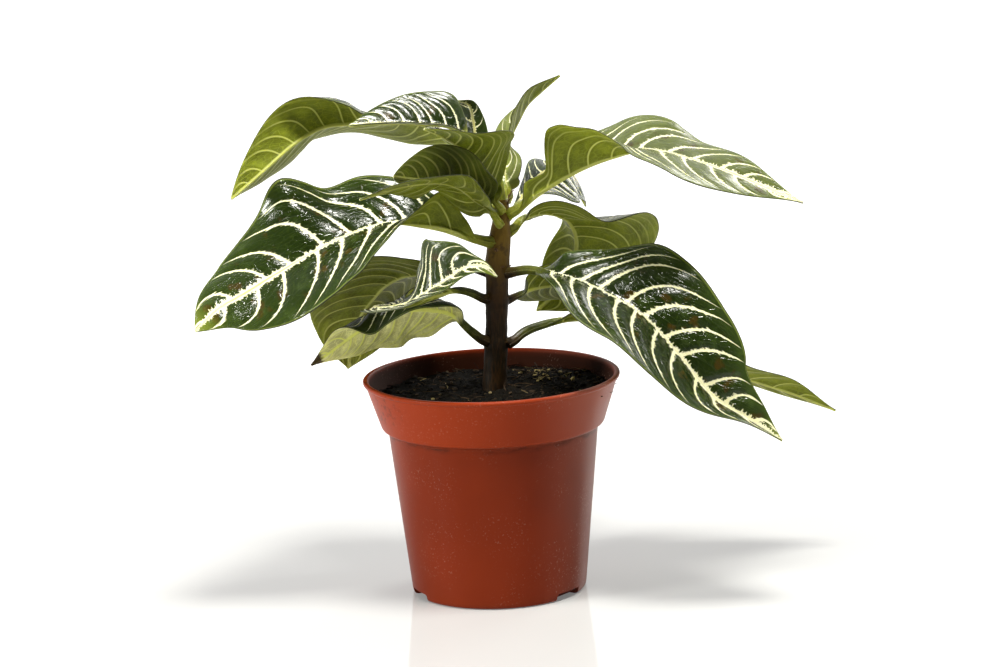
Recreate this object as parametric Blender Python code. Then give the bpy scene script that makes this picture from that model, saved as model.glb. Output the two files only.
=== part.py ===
"""A zebra plant in a plain plastic nursery pot.

One stem stands in a filled pot and carries seventeen leaves, most of them in crossed pairs. Each leaf is one solid:
a stalk that widens into a blade with a raised midrib, folded, rolled and waved along its length.
Sizes are written in millimetres and turned into metres where the meshes are made. The origin is the middle of the
pot's base, +Z is up and -Y is the front.
"""

import math

import bmesh
import bpy
import numpy as np
from mathutils import Vector, noise

MM = 0.001
GAP = 0.3
AROUND = 56

# Pot
POT_OUTSIDE = [
    (0.0, 0.0), (42.0, 0.0), (43.7, 0.4), (44.5, 1.4), (44.8, 3.0), (53.6, 85.3), (54.5, 86.2), (56.2, 86.6),
    (57.0, 87.6), (64.2, 109.5), (65.4, 110.2), (65.6, 111.3), (65.0, 112.0),
]
POT_INSIDE = [
    (63.3, 112.0), (62.7, 111.4), (55.6, 89.0), (54.8, 88.1), (52.7, 87.6), (52.1, 86.6), (43.1, 3.0), (42.2, 2.0),
    (0.0, 2.0),
]
SLOT_BEARINGS = (-38.0, 82.0, -158.0)
SLOT_WIDTH = 18.0
SLOT_HEIGHT = 4.0
SLOT_INNER_RADIUS = 38.0

# Soil
SOIL_TOP = 105.0
SOIL_SIDE = [(55.25, 89.2), (54.6, 88.5), (52.5, 88.0), (51.75, 86.8), (42.75, 3.4), (42.0, 2.5), (41.5, 2.3)]
SOIL_RINGS = (12.0, 19.0, 27.0, 35.0, 43.0, 51.0, 57.0)
SOIL_ROUGHNESS = 1.5
HOLE_DEPTH_HEIGHT = 42.0
HOLE_RADIUS = 6.75

# Stem: height, distance of the middle from the pot's middle line along X, radius
STEM = [
    (44.0, 1.6, 4.6), (46.0, 1.6, 5.9), (60.0, 1.6, 6.3), (100.0, 1.6, 6.3), (108.0, 1.7, 6.3), (118.0, 2.4, 5.9),
    (124.5, 2.9, 5.9), (127.0, 3.0, 6.3), (129.5, 3.2, 6.3), (132.0, 3.3, 5.7), (140.0, 3.9, 5.5), (147.0, 4.3, 5.7),
    (149.5, 4.5, 6.1), (152.0, 4.6, 6.0), (155.0, 4.7, 5.6), (161.0, 5.0, 5.7), (165.0, 5.1, 6.3), (168.0, 5.3, 6.4),
    (172.0, 5.6, 6.2), (178.0, 6.4, 5.9), (182.0, 7.0, 5.7), (186.0, 7.5, 5.1), (190.0, 8.0, 4.6), (194.0, 8.4, 4.2),
    (198.0, 8.7, 3.8), (201.0, 8.8, 3.3), (202.2, 8.8, 2.2),
]
STEM_SIDES = 18

# Leaves
BLADE = 0.8
WING = 0.6
COLUMNS = 8
ROW_LENGTH = 9.0

# Each leaf: the points its midrib passes, the length of its stalk, the stalk's thickness, the widths of its left and
# right halves as seen along the leaf with its upper side up, where along the blade it is widest and how fast it
# narrows to its tip. Poise rows give the place along the blade, the rise of the left and right halves above flat and
# how far each half rolls between midrib and margin, in degrees. Trim rows give the place along the blade and how many
# times its plain width each half has there. Wave gives the height of the margin's waves, their count and where each
# margin starts in its wave.
EVEN = [(0, 1, 1), (1, 1, 1)]
LEAVES = [
    dict(
        name="leaf_low_left", colour="olive", stalk=16, thick=4.0, wide=(20, 22), widest=0.42, sharp=1.2,
        midrib=[(-2.9, -4.5, 130), (-10, -7, 137), (-19, -9, 146), (-30, -11, 149), (-45, -13, 149), (-57, -15, 145),
                (-70, -18, 138), (-81, -22, 131), (-90, -26, 126)],
        poise=[(0, 60, -65, -60, 20), (0.3, 90, -60, -170, 20), (0.5, 75, -50, -170, 0), (0.62, 70, -48, -160, 0),
               (0.8, 55, -42, 0, 0), (1, 50, -35, 0, 0)],
        trim=[(0, 1, 1), (0.45, 1, 1), (0.6, 1.3, 1), (0.75, 1, 1), (1, 1, 1)],
        wave=(1.5, 3.2, 0.1, 0.3),
    ),
    dict(
        name="leaf_low_right", colour="yellow green", stalk=22, thick=4.2, wide=(24, 24), widest=0.45, sharp=1.3,
        midrib=[(11.2, -3.5, 128.5), (16.5, 0, 132.5), (28, 4, 136), (44, 10, 137), (62, 16, 133), (82, 22, 124),
                (103, 26, 114), (123, 28, 102), (139, 30, 95), (154, 32, 89), (178, 34, 78)],
        poise=[(0, -20, 50, 0, 0), (0.2, -20, 25, 0, 0), (0.65, -20, 25, 0, 0), (0.85, -20, 50, 0, 0),
               (1, -20, 50, 0, 0)],
        wave=(1.5, 3.0, 0.1, 0.5),
    ),
    dict(
        name="leaf_turned_left", colour="dark green", stalk=18, thick=3.6, wide=(24, 15), widest=0.62, sharp=1.2,
        midrib=[(-1.8, -3.2, 151.5), (-8, -8, 156), (-15, -14, 159), (-24, -22, 159), (-39, -32, 158),
                (-52, -42, 158), (-56, -50, 159), (-51, -58, 160), (-39, -62, 163), (-28, -65, 169), (-19, -68, 175),
                (-10, -71, 181), (-3, -74, 182), (5, -76, 177)],
        poise=[(0, 60, -60, 0, 0), (0.2, 60, -50, 0, 0), (0.33, 28, -30, 0, 0), (0.6, 28, -16, 0, 0),
               (0.7, 75, -20, 0, 0), (0.8, 95, -35, 0, 0), (1, 90, -40, 0, 0)],
        trim=[(0, 1, 1), (0.3, 1, 0.8), (0.45, 0.8, 0.5), (0.6, 0.7, 0.8), (0.7, 0.7, 1), (0.78, 1.15, 1),
              (0.86, 0.95, 1), (0.91, 0.5, 1), (1, 0.5, 1)],
        wave=(0.8, 2.0, 0.0, 0.5),
    ),
    dict(
        name="leaf_small_right", colour="dark green", stalk=9, thick=3.2, wide=(18, 16), widest=0.4, sharp=1.2,
        midrib=[(10.3, 3.6, 149.5), (14.5, 8, 150.5), (22, 16, 152), (32, 24, 152), (43, 31, 150), (55, 37, 144),
                (64, 42, 136)],
        poise=[(0, -30, 80, 0, 0), (0.2, -30, 65, 0, 0), (0.3, -30, 50, 0, 0), (0.5, -35, 36, 0, 0),
               (0.7, -30, 50, 0, 0), (1, -30, 55, 0, 0)],
        wave=(1.0, 2.0, 0.2, 0.4),
    ),
    dict(
        name="leaf_hanging_left", colour="olive", stalk=18, thick=4.0, wide=(34, 34), widest=0.45, sharp=1.2,
        midrib=[(-1.3, 2.7, 165), (-8.5, 6, 166.5), (-19, 12, 165), (-32, 18, 162), (-43, 24, 160), (-53, 30, 154),
                (-59, 36, 147), (-65, 42, 139), (-72, 50, 123), (-75, 56, 106)],
        poise=[(0, 25, -5, 0, 0), (0.3, 32, -5, 0, 0), (0.6, 30, -5, 0, 0), (0.8, 45, -35, 0, 0), (1, 30, -60, 0, 0)],
        trim=[(0, 1, 1), (0.6, 1, 1), (0.8, 1.1, 1.1), (0.9, 1.2, 1.3), (1, 1.2, 1.3)],
        wave=(1.5, 2.5, 0.0, 0.4),
    ),
    dict(
        name="leaf_broad_right", colour="dark green", stalk=17, thick=4.2, wide=(36, 35), widest=0.4, sharp=1.2,
        midrib=[(11.5, -3.4, 165), (21.5, -9, 167), (31, -15, 166), (45, -24, 163), (58, -32, 158), (77, -42, 147),
                (93, -50, 129), (111, -58, 107), (129, -64, 96), (142, -70, 88)],
        poise=[(0, 60, 10, 0, 0), (0.15, 40, 5, 0, 0), (0.25, 42, -5, 0, 0), (0.42, 55, -5, 0, 0), (0.7, 62, 0, 0, 0),
               (0.85, 60, 12, 0, 0), (1, 50, 15, 0, 0)],
        trim=[(0, 0.8, 1), (0.1, 0.8, 1), (0.18, 0.83, 1), (0.29, 1, 1), (0.4, 0.95, 1), (0.5, 0.93, 1),
              (0.6, 0.98, 1), (0.75, 1.08, 1), (1, 1, 1)],
        wave=(1.0, 2.2, 0.55, 0.1),
    ),
    dict(
        name="leaf_broad_left", colour="dark green", stalk=10, thick=4.6, wide=(35, 37), widest=0.52, sharp=1.0,
        midrib=[(1.8, -3.8, 181), (-11.5, -12, 186.5), (-22, -16, 191), (-32, -20, 194), (-43, -22, 196),
                (-54, -24, 195), (-74, -28, 189), (-104, -36, 175), (-122, -42, 166), (-133, -46, 161),
                (-145, -52, 151)],
        poise=[(0, 80, 60, 0, 0), (0.15, 80, 60, 0, 0), (0.27, 0, 55, 0, 0), (0.42, -25, 50, 0, 0),
               (0.53, -30, 68, 0, 0), (0.62, -35, 58, 0, 0), (0.8, -55, 47, 0, 0), (1, -60, 45, 0, 0)],
        trim=[(0, 1, 1), (0.15, 1, 1), (0.25, 0.5, 0.95), (0.33, 0.7, 0.97), (0.43, 0.95, 0.86), (0.53, 1, 1.1),
              (0.63, 1, 0.93), (0.72, 1, 0.9), (0.82, 1, 0.95), (1, 1, 1)],
        wave=(1.0, 2.2, 0.3, 0.1),
    ),
    dict(
        name="leaf_bent_right", colour="yellow green", stalk=6, thick=4.0, wide=(20, 38), widest=0.5, sharp=1.2,
        midrib=[(13.6, 2.8, 185), (19, 9, 190), (28, 14, 192), (36, 19, 190), (42, 24, 186), (46, 30, 177),
                (46, 36, 167), (42, 42, 156), (35, 47, 144), (25, 50, 134)],
        poise=[(0, -45, 40, 0, 0), (0.1, -40, 40, 0, 0), (0.2, -25, 25, 0, 0), (0.3, -10, 15, 0, 0),
               (0.4, 5, 45, 0, 0), (0.5, 20, 58, 0, 0), (0.7, 0, 60, 0, 0), (0.8, -20, 50, 0, 0), (1, -30, 50, 0, 0)],
        trim=[(0, 1, 1), (0.3, 1, 1), (0.45, 1, 1.1), (0.6, 1, 1.1), (1, 1, 1)],
        wave=(1.0, 2.0, 0.3, 0.1),
    ),
    dict(
        name="leaf_narrow_left", colour="olive", stalk=9, thick=3.4, wide=(18, 15), widest=0.45, sharp=1.2,
        midrib=[(7.1, -6.1, 190.5), (2.5, -14, 199.5), (-4, -22, 206), (-12, -34, 214.5), (-20, -45, 219),
                (-29, -56, 221), (-41, -65, 221), (-60, -73, 217)],
        poise=[(0, -20, -60, 0, 0), (0.1, -20, -55, 0, 0), (0.2, -20, -15, 0, 0), (0.3, -15, 0, 0, 0),
               (0.4, -10, -10, 0, 0), (0.5, 5, -30, 0, 0), (0.65, 15, -30, 0, 0), (0.8, 20, -20, 0, 0),
               (1, 20, -20, 0, 0)],
        wave=(1.0, 2.0, 0.3, 0.1),
    ),
    dict(
        name="leaf_short_right", colour="dark green", stalk=14, thick=3.2, wide=(13, 20), widest=0.5, sharp=1.2,
        midrib=[(11.4, 4.3, 191), (18, 20, 197), (25, 36, 204), (34, 50, 208), (43, 62, 206), (50, 72, 195),
                (53, 80, 183)],
        poise=[(0, 10, -20, 0, 0), (0.5, 10, -50, 0, 0), (1, 10, -40, 0, 0)],
        trim=[(0, 0.3, 0.3), (0.3, 0.5, 0.6), (0.5, 1, 1), (1, 1, 1)],
        wave=(1.0, 2.0, 0.3, 0.1),
    ),
    dict(
        name="leaf_long_right", colour="dark green", stalk=5, thick=4.2, wide=(34, 38), widest=0.45, sharp=1.6,
        midrib=[(13.9, -2, 195), (23.5, -2, 202), (36, -4, 210), (52, -6, 218), (66, -9, 223), (79, -12, 226),
                (91, -16, 225), (105, -20, 221), (122, -24, 215), (138, -28, 208), (158, -34, 200)],
        poise=[(0, 40, 60, 0, 0), (0.12, 30, 75, 0, 0), (0.24, 22, 68, 0, 0), (0.33, 16, 55, 0, 0),
               (0.42, 16, 24, 0, 0), (0.6, 2, 5, 0, 0), (0.8, 20, -5, 0, 0), (1, 30, -20, 0, 0)],
        trim=[(0, 0.7, 1.5), (0.05, 0.7, 1.2), (0.1, 0.6, 0.55), (0.14, 0.6, 0.4), (0.17, 0.8, 0.8), (0.2, 0.9, 1.05),
              (0.24, 1, 1), (0.3, 1, 0.75), (0.36, 1, 0.7), (0.43, 0.95, 0.85), (0.5, 0.92, 1), (1, 1, 1)],
        wave=(1.0, 2.0, 0.3, 0.1),
    ),
    dict(
        name="leaf_arching_left", colour="olive", stalk=22, thick=4.0, wide=(30, 30), widest=0.55, sharp=1.0,
        midrib=[(2.5, 0.5, 196.5), (-2.5, 7, 208), (-8, 12, 223), (-18, 17, 234), (-32, 20, 239.5), (-50, 22, 240),
                (-66, 17, 241), (-80, 7, 241), (-94, -5, 235), (-108, -17, 225), (-125, -32, 213)],
        poise=[(0, 30, -35, 0, 0), (0.15, 32, -70, 0, 0), (0.3, 47, -66, 0, 0), (0.4, 80, -48, -40, 0),
               (0.5, 120, -53, -130, 0), (0.6, 140, -68, -130, 0), (0.7, 145, -71, -40, 0), (0.8, 145, -69, -20, 0),
               (1, 140, -65, 0, 0)],
        trim=[(0, 0.3, 1), (0.3, 0.3, 1), (0.42, 0.4, 1), (0.5, 0.7, 1), (0.6, 1, 1), (0.7, 0.78, 1), (0.8, 0.73, 1),
              (1, 0.75, 1)],
        wave=(0.8, 2.0, 0.3, 0.1),
    ),
    dict(
        name="leaf_striped_left", colour="dark green", stalk=38, thick=3.4, wide=(7, 18), widest=0.3, sharp=1.0,
        midrib=[(8.8, 0.2, 202.8), (7.5, 1, 212), (3, 2, 224), (-6, 2, 234), (-17, 1, 240), (-30, -1, 242),
                (-48, -3, 243.5), (-66, -7, 243.5)],
        poise=[(0, 45, 30, 0, 0), (0.3, 45, 20, 0, 0), (0.6, 45, 15, 0, 0), (1, 45, 10, 0, 0)],
        trim=[(0, 0.3, 0.3), (0.08, 0.6, 0.6), (0.16, 1, 0.95), (0.3, 1, 1), (1, 1, 1)],
        wave=(0.6, 2.0, 0.3, 0.1),
    ),
    dict(
        name="leaf_young_left", colour="olive", stalk=10, thick=3.2, wide=(19, 13), widest=0.5, sharp=0.9,
        midrib=[(4.7, -3.8, 195), (0, -13, 203), (-6, -20, 210), (-14, -26, 215), (-22, -33, 218), (-33, -39, 220),
                (-44, -45, 223)],
        poise=[(0, 40, 5, 0, 0), (0.2, 22, 0, 0, 0), (0.35, 20, -3, 0, 0), (0.5, 45, -5, 0, 0), (0.6, 60, -5, 0, 0),
               (0.75, 82, -8, 0, 0), (1, 95, -15, 0, 0)],
        wave=(0.8, 2.0, 0.3, 0.1),
    ),
    dict(
        name="leaf_young_back", colour="olive", stalk=12, thick=3.0, wide=(16, 6), widest=0.5, sharp=1.1,
        midrib=[(7, 4.6, 197.5), (-0.5, 22, 211.5), (-3, 32, 227), (-4, 35, 238), (-6, 33, 246), (-12, 27, 249)],
        poise=[(0, -60, 30, 0, 0), (1, -60, 30, 0, 0)],
        wave=(0.8, 2.0, 0.3, 0.1),
    ),
    dict(
        name="leaf_crown_left", colour="olive", stalk=8, thick=3.2, wide=(24, 12), widest=0.5, sharp=0.9,
        midrib=[(9.4, -6, 197), (3, -11, 206.5), (-2, -17, 220), (-8, -22, 230), (-17, -28, 238),
                (-28, -38, 245)],
        poise=[(0, 88, 15, 0, 0), (0.3, 86, 15, 0, 0), (0.45, 52, 8, 0, 0), (0.6, 25, 5, 0, 0), (0.8, 15, 22, 0, 0),
               (1, 15, 25, 0, 0)],
        wave=(0.8, 2.0, 0.3, 0.1),
    ),
    dict(
        name="leaf_crown_tip", colour="yellow green", stalk=6, thick=3.0, wide=(11, 18), widest=0.42, sharp=1.0,
        midrib=[(12.9, 3.9, 200), (12, 8.5, 214.5), (14, 20, 229), (19, 24, 238), (24, 26, 246), (31, 27, 252),
                (41, 27, 260)],
        poise=[(0, -40, 60, 0, 0), (0.1, -42, 62, 0, 0), (0.19, -45, 58, 0, 0), (0.33, -48, 95, 0, 0),
               (0.5, -50, 100, 0, 0), (0.65, -50, 102, 0, 0), (0.8, -50, 117, 0, 0), (1, -50, 115, 0, 0)],
        trim=[(0, 1, 1), (0.1, 1, 1), (0.2, 1, 0.6), (0.3, 1, 0.3), (0.4, 1, 0.5), (0.55, 1, 1), (0.7, 0.4, 1),
              (1, 0.4, 1)],
        wave=(0.8, 2.0, 0.3, 0.1),
    ),
]

COLOURS = {
    "terracotta": ((0.31, 0.035, 0.013), 0.42),
    "earth": ((0.012, 0.009, 0.007), 0.95),
    "bark": ((0.06, 0.028, 0.012), 0.6),
    "dark green": ((0.012, 0.035, 0.01), 0.28),
    "olive": ((0.10, 0.16, 0.03), 0.45),
    "yellow green": ((0.22, 0.30, 0.05), 0.45),
}


def clear_scene():
    for old in list(bpy.data.objects):
        bpy.data.objects.remove(old, do_unlink=True)


def material(name, colour):
    """A Principled material named for its object."""
    made = bpy.data.materials.new(name)
    made.use_nodes = True
    shader = made.node_tree.nodes["Principled BSDF"]
    rgb, roughness = COLOURS[colour]
    shader.inputs["Base Color"].default_value = (*rgb, 1.0)
    shader.inputs["Roughness"].default_value = roughness
    shader.inputs["Metallic"].default_value = 0.0
    return made


def finish(bm, name, colour, crease=35.0):
    """Turns the bmesh into an object, smooth but for edges sharper than crease degrees."""
    bmesh.ops.recalc_face_normals(bm, faces=bm.faces)
    mesh = bpy.data.meshes.new(name)
    bm.to_mesh(mesh)
    bm.free()
    for face in mesh.polygons:
        face.use_smooth = True
    mesh.set_sharp_from_angle(angle=math.radians(crease))
    obj = bpy.data.objects.new(name, mesh)
    obj.data.materials.append(material(name + "_material", colour))
    bpy.context.scene.collection.objects.link(obj)
    return obj


def turned(profile, sides):
    """A closed body turned about the Z axis from (radius, height) points, first and last on the axis."""
    bm = bmesh.new()
    line = [bm.verts.new((radius * MM, 0.0, height * MM)) for radius, height in profile]
    edges = [bm.edges.new(pair) for pair in zip(line, line[1:])]
    bmesh.ops.spin(
        bm, geom=line + edges, cent=(0, 0, 0), axis=(0, 0, 1), angle=2 * math.pi, steps=sides, use_merge=True
    )
    bmesh.ops.remove_doubles(bm, verts=bm.verts, dist=0.00001)
    return bm


def slot_cutter(bearing):
    """A box over the corner of wall and floor, as wide and high as one drain slot."""
    bm = bmesh.new()
    bmesh.ops.create_cube(bm, size=1.0)
    depth = 60.0 - SLOT_INNER_RADIUS
    bmesh.ops.scale(bm, vec=(depth * MM, SLOT_WIDTH * MM, (SLOT_HEIGHT + 3.0) * MM), verts=bm.verts)
    middle = Vector(((SLOT_INNER_RADIUS + depth / 2) * MM, 0.0, (SLOT_HEIGHT - 3.0) / 2 * MM))
    bmesh.ops.translate(bm, vec=middle, verts=bm.verts)
    cutter = finish(bm, "slot_cutter", "terracotta")
    cutter.rotation_euler = (0.0, 0.0, math.radians(bearing))
    cutter.hide_render = True
    cutter.display_type = "WIRE"
    return cutter


def build_pot():
    """The pot: thin wall, flat floor, flared rim band with a lip, and three drain slots at the foot."""
    pot = finish(turned(POT_OUTSIDE + POT_INSIDE, AROUND), "pot", "terracotta")
    for bearing in SLOT_BEARINGS:
        cut = pot.modifiers.new("slot", "BOOLEAN")
        cut.operation = "DIFFERENCE"
        cut.solver = "EXACT"
        cut.object = slot_cutter(bearing)
    return pot


def rim_radius(height):
    """Radius of the soil's edge at this height inside the rim band, a gap short of the wall."""
    (top_radius, top), (low_radius, low) = POT_INSIDE[1], POT_INSIDE[2]
    return low_radius + (height - low) * (top_radius - low_radius) / (top - low) - 1.1 * GAP


def soil_height(x, y):
    """Height of the soil's surface in millimetres: lumpy, lower at the left and back, with a heap at the right."""
    lumps = noise.noise(Vector((x / 9.0, y / 9.0, 3.0))) + 0.5 * noise.noise(Vector((x / 4.0, y / 4.0, 8.0)))
    heap = 2.2 * math.exp(-((x - 26.0) ** 2 + (y - 22.0) ** 2) / 260.0)
    return SOIL_TOP + SOIL_ROUGHNESS * lumps + heap + 0.02 * x - 0.01 * y - 0.0006 * (x * x + y * y)


def build_soil():
    """The soil: fills the pot to a little below its rim, with a plain hole for the foot of the stem."""
    profile = [(0.0, HOLE_DEPTH_HEIGHT), (HOLE_RADIUS, HOLE_DEPTH_HEIGHT), (HOLE_RADIUS, SOIL_TOP)]
    profile += [(radius, SOIL_TOP) for radius in SOIL_RINGS]
    profile.append((rim_radius(SOIL_TOP), SOIL_TOP))
    profile += SOIL_SIDE + [(0.0, SOIL_SIDE[-1][1])]
    bm = turned(profile, AROUND)
    for vert in bm.verts:
        x, y, z = (value / MM for value in vert.co)
        out = math.hypot(x, y)
        if z > SOIL_TOP - 1.0:
            z = soil_height(x, y)
            if out > SOIL_RINGS[-1] + 0.5:
                edge = rim_radius(z)
                x, y = x * edge / out, y * edge / out
        if z > HOLE_DEPTH_HEIGHT - 1.0 and out < SOIL_RINGS[-1]:
            x += 1.6 * max(0.0, 1.0 - max(0.0, out - HOLE_RADIUS) / 30.0)
        vert.co = Vector((x, y, z)) * MM
    return finish(bm, "soil", "earth", crease=60.0)


def stem_at(height):
    """Middle and radius of the stem at this height."""
    heights = [row[0] for row in STEM]
    return (
        float(np.interp(height, heights, [row[1] for row in STEM])),
        float(np.interp(height, heights, [row[2] for row in STEM])),
    )


def build_stem():
    """The stem: round, slightly bent, thicker where the leaf pairs leave it and thin at the crown."""
    profile = [(0.0, STEM[0][0])] + [(radius, height) for height, _, radius in STEM] + [(0.0, STEM[-1][0])]
    bm = turned(profile, STEM_SIDES)
    for vert in bm.verts:
        vert.co.x += stem_at(vert.co.z / MM)[0] * MM
    return finish(bm, "stem", "bark", crease=50.0)


def flowing(keys, values, at):
    """Smooth curves through rows of values set by hand at the keys."""
    keys = np.asarray(keys, float)
    values = np.asarray(values, float)
    at = np.asarray(at, float)
    steps = np.diff(keys)
    slopes = np.diff(values, axis=0) / steps[:, None]
    tangents = np.empty_like(values)
    tangents[0] = slopes[0]
    tangents[-1] = slopes[-1]
    mix = (steps[1:] / (steps[1:] + steps[:-1]))[:, None]
    tangents[1:-1] = slopes[:-1] * mix + slopes[1:] * (1 - mix)
    i = np.clip(np.searchsorted(keys, at, side="right") - 1, 0, len(keys) - 2)
    h = steps[i][:, None]
    u = np.clip((at - keys[i]) / steps[i], 0, 1)[:, None]
    ends = values[i] * (1 + 2 * u) * (1 - u) ** 2 + values[i + 1] * u * u * (3 - 2 * u)
    return ends + tangents[i] * h * u * (1 - u) ** 2 - tangents[i + 1] * h * u * u * (1 - u)


def midrib_frames(leaf, along):
    """Place, heading, side and up directions at each fraction of the midrib's length, and that length."""
    points = np.array(leaf["midrib"], float)
    keys = np.concatenate([[0.0], np.cumsum(np.linalg.norm(np.diff(points, axis=0), axis=1))])
    fine = flowing(keys, points, np.linspace(0, keys[-1], 401))
    run = np.concatenate([[0.0], np.cumsum(np.linalg.norm(np.diff(fine, axis=0), axis=1))])
    even = np.linspace(0, run[-1], 401)
    fine = np.stack([np.interp(even, run, fine[:, axis]) for axis in range(3)], axis=1)
    ahead = np.gradient(fine, axis=0)
    ahead /= np.linalg.norm(ahead, axis=1)[:, None]
    side = np.empty_like(fine)
    side[0] = np.cross(ahead[0], (0, 0, 1))
    side[0] /= np.linalg.norm(side[0])
    for i in range(1, len(fine)):
        kept = side[i - 1] - ahead[i] * (side[i - 1] @ ahead[i])
        side[i] = kept / np.linalg.norm(kept)
    up = np.cross(side, ahead)
    frames = []
    for field in (fine, side, up):
        frames.append(np.stack([np.interp(along * run[-1], even, field[:, axis]) for axis in range(3)], axis=1))
    return frames, run[-1]


def leaf_surface(leaf, across, along):
    """Points of the leaf's middle surface and its thickness there.

    Across runs from -1 at the left margin to 1 at the right one, along from 0 at the stem to 1 at the tip.
    """
    (place, side, up), length = midrib_frames(leaf, along)
    start = leaf["stalk"] / length
    blade = np.clip((along - start) / (1 - start), 0, 1)
    grown = np.clip((along - start / 2) / (1 - start / 2), 0, 1)
    rib = leaf["thick"] / 2 * (1 - 0.85 * grown**0.6)
    poise = flowing([row[0] for row in leaf["poise"]], [row[1:] for row in leaf["poise"]], blade)
    right = across > 0
    fade = np.clip(blade / 0.06, 0, 1)
    rise = np.radians(np.where(right, poise[:, 1], poise[:, 0])) * fade
    roll = np.radians(np.where(right, poise[:, 3], poise[:, 2])) * fade
    roll = np.where(np.abs(roll) < 0.001, 0.001, roll)

    inside = np.clip(blade, 1e-9, 1 - 1e-9)
    widest = leaf["widest"]
    blunt = leaf["sharp"] * widest / (1 - widest)
    outline = (inside / widest) ** blunt * ((1 - inside) / (1 - widest)) ** leaf["sharp"]
    trim = leaf.get("trim", EVEN)
    trim = flowing([row[0] for row in trim], [row[1:] for row in trim], blade)
    wide = np.where(right, leaf["wide"][1] * trim[:, 1], leaf["wide"][0] * trim[:, 0]) * outline
    full = rib + WING * (1 - 0.6 * blade) + wide

    reach = np.abs(across)
    core = 0.8 * rib
    distance = np.where(reach <= 0.25, core * reach / 0.25, core + (full - core) * (reach - 0.25) / 0.75)
    part = distance / full
    turn = rise + roll * part
    out = full / roll * (np.sin(turn) - np.sin(rise))
    lift = full / roll * (np.cos(rise) - np.cos(turn))

    height, count, left_start, right_start = leaf["wave"]
    phase = np.where(right, right_start, left_start)
    ripple = height * wide / max(leaf["wide"]) * part**2 * np.sin(2 * np.pi * (count * blade + phase))
    out = (out - np.sin(turn) * ripple) * np.sign(across)
    lift = lift + np.cos(turn) * ripple
    points = place + side * out[:, None] + up * lift[:, None]
    thickness = BLADE + 2 * np.sqrt(np.maximum(rib**2 - distance**2, 0)) * (1 - 0.3 * fade)
    return points, thickness


def build_leaf(leaf):
    """One leaf: a grid laid along the midrib, split into triangles and thickened by a weighted Solidify."""
    length = midrib_frames(leaf, np.zeros(1))[1]
    rows = int(min(22, max(14, round(length / ROW_LENGTH) + 3)))
    bm = bmesh.new()
    bmesh.ops.create_grid(bm, x_segments=COLUMNS, y_segments=rows, size=1.0)
    across = np.array([vert.co.x for vert in bm.verts])
    along = np.array([(vert.co.y + 1.0) / 2 for vert in bm.verts])
    points, thickness = leaf_surface(leaf, np.clip(across, -1, 1), np.clip(along, 0, 1))
    for vert, point in zip(bm.verts, points):
        vert.co = Vector(point) * MM
    bmesh.ops.triangulate(bm, faces=bm.faces, quad_method="SHORT_EDGE")
    mesh = bpy.data.meshes.new(leaf["name"])
    bm.to_mesh(mesh)
    bm.free()
    for face in mesh.polygons:
        face.use_smooth = True
    obj = bpy.data.objects.new(leaf["name"], mesh)
    obj.data.materials.append(material(leaf["name"] + "_material", leaf["colour"]))
    bpy.context.scene.collection.objects.link(obj)

    most = float(thickness.max())
    group = obj.vertex_groups.new(name="thickness")
    for index, value in enumerate(thickness):
        group.add([index], float(value) / most, "REPLACE")
    shell = obj.modifiers.new("shell", "SOLIDIFY")
    shell.thickness = most * MM
    shell.offset = 0.0
    shell.vertex_group = "thickness"
    shell.use_quality_normals = True
    shell.use_rim = True
    return obj


def main():
    clear_scene()
    build_pot()
    build_soil()
    build_stem()
    for leaf in LEAVES:
        build_leaf(leaf)


main()
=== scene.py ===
"""A zebra plant in a plastic nursery pot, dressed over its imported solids.

The pot, the soil and the stem are turned and roughened. Each leaf is laid along its midrib as a fine sheet
with sunken veins, then thickened. Sizes in the tables are millimetres, and properties are metres.
"""

import math
import random

import bmesh
import bpy
import numpy as np
from bpy.props import FloatProperty, FloatVectorProperty, IntProperty, PointerProperty
from bpy.types import Operator, Panel, PropertyGroup
from mathutils import Matrix, Vector, noise


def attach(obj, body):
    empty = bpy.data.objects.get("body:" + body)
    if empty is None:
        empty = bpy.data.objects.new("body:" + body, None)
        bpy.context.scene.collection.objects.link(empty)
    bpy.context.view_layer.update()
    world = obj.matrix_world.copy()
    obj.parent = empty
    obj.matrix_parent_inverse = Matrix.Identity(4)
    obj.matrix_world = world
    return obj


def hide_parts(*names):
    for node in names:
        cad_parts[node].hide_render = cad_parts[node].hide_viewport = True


bl_info = {
    "name": "Potted Zebra Plant",
    "version": (1, 0, 0),
    "blender": (4, 5, 0),
    "location": "View3D > Sidebar > Zebra Plant",
    "description": "Builds a zebra plant with veined leaves in a nursery pot",
    "category": "Add Mesh",
}

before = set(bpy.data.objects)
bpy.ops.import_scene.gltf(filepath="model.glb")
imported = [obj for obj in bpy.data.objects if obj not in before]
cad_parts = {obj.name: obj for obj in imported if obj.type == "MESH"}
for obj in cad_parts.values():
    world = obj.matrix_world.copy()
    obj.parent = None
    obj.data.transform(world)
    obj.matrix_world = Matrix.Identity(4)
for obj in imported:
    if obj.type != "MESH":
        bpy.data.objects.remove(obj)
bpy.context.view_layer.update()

MM = 0.001

# Pot profile from the middle of the base outwards and up, then down the inside: radius, height
POT_OUTSIDE = [
    (0.0, 0.0), (42.0, 0.0), (43.7, 0.4), (44.5, 1.4), (44.8, 3.0), (53.6, 85.3), (54.5, 86.2),
    (56.2, 86.6), (57.0, 87.6), (64.2, 109.5), (65.4, 110.2), (65.6, 111.3), (65.0, 112.0),
]
POT_INSIDE = [
    (63.3, 112.0), (62.7, 111.4), (55.6, 89.0), (54.8, 88.1), (52.7, 87.6), (52.1, 86.6), (43.1, 3.0),
    (42.2, 2.0), (0.0, 2.0),
]

# The foot and the top of the rim band, and the bearings of the drain slots in degrees
BAND_FOOT = POT_OUTSIDE[6][1]
RIM_TOP = POT_OUTSIDE[-1][1]
SLOT_BEARINGS = (-38.0, 82.0, -158.0)

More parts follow.
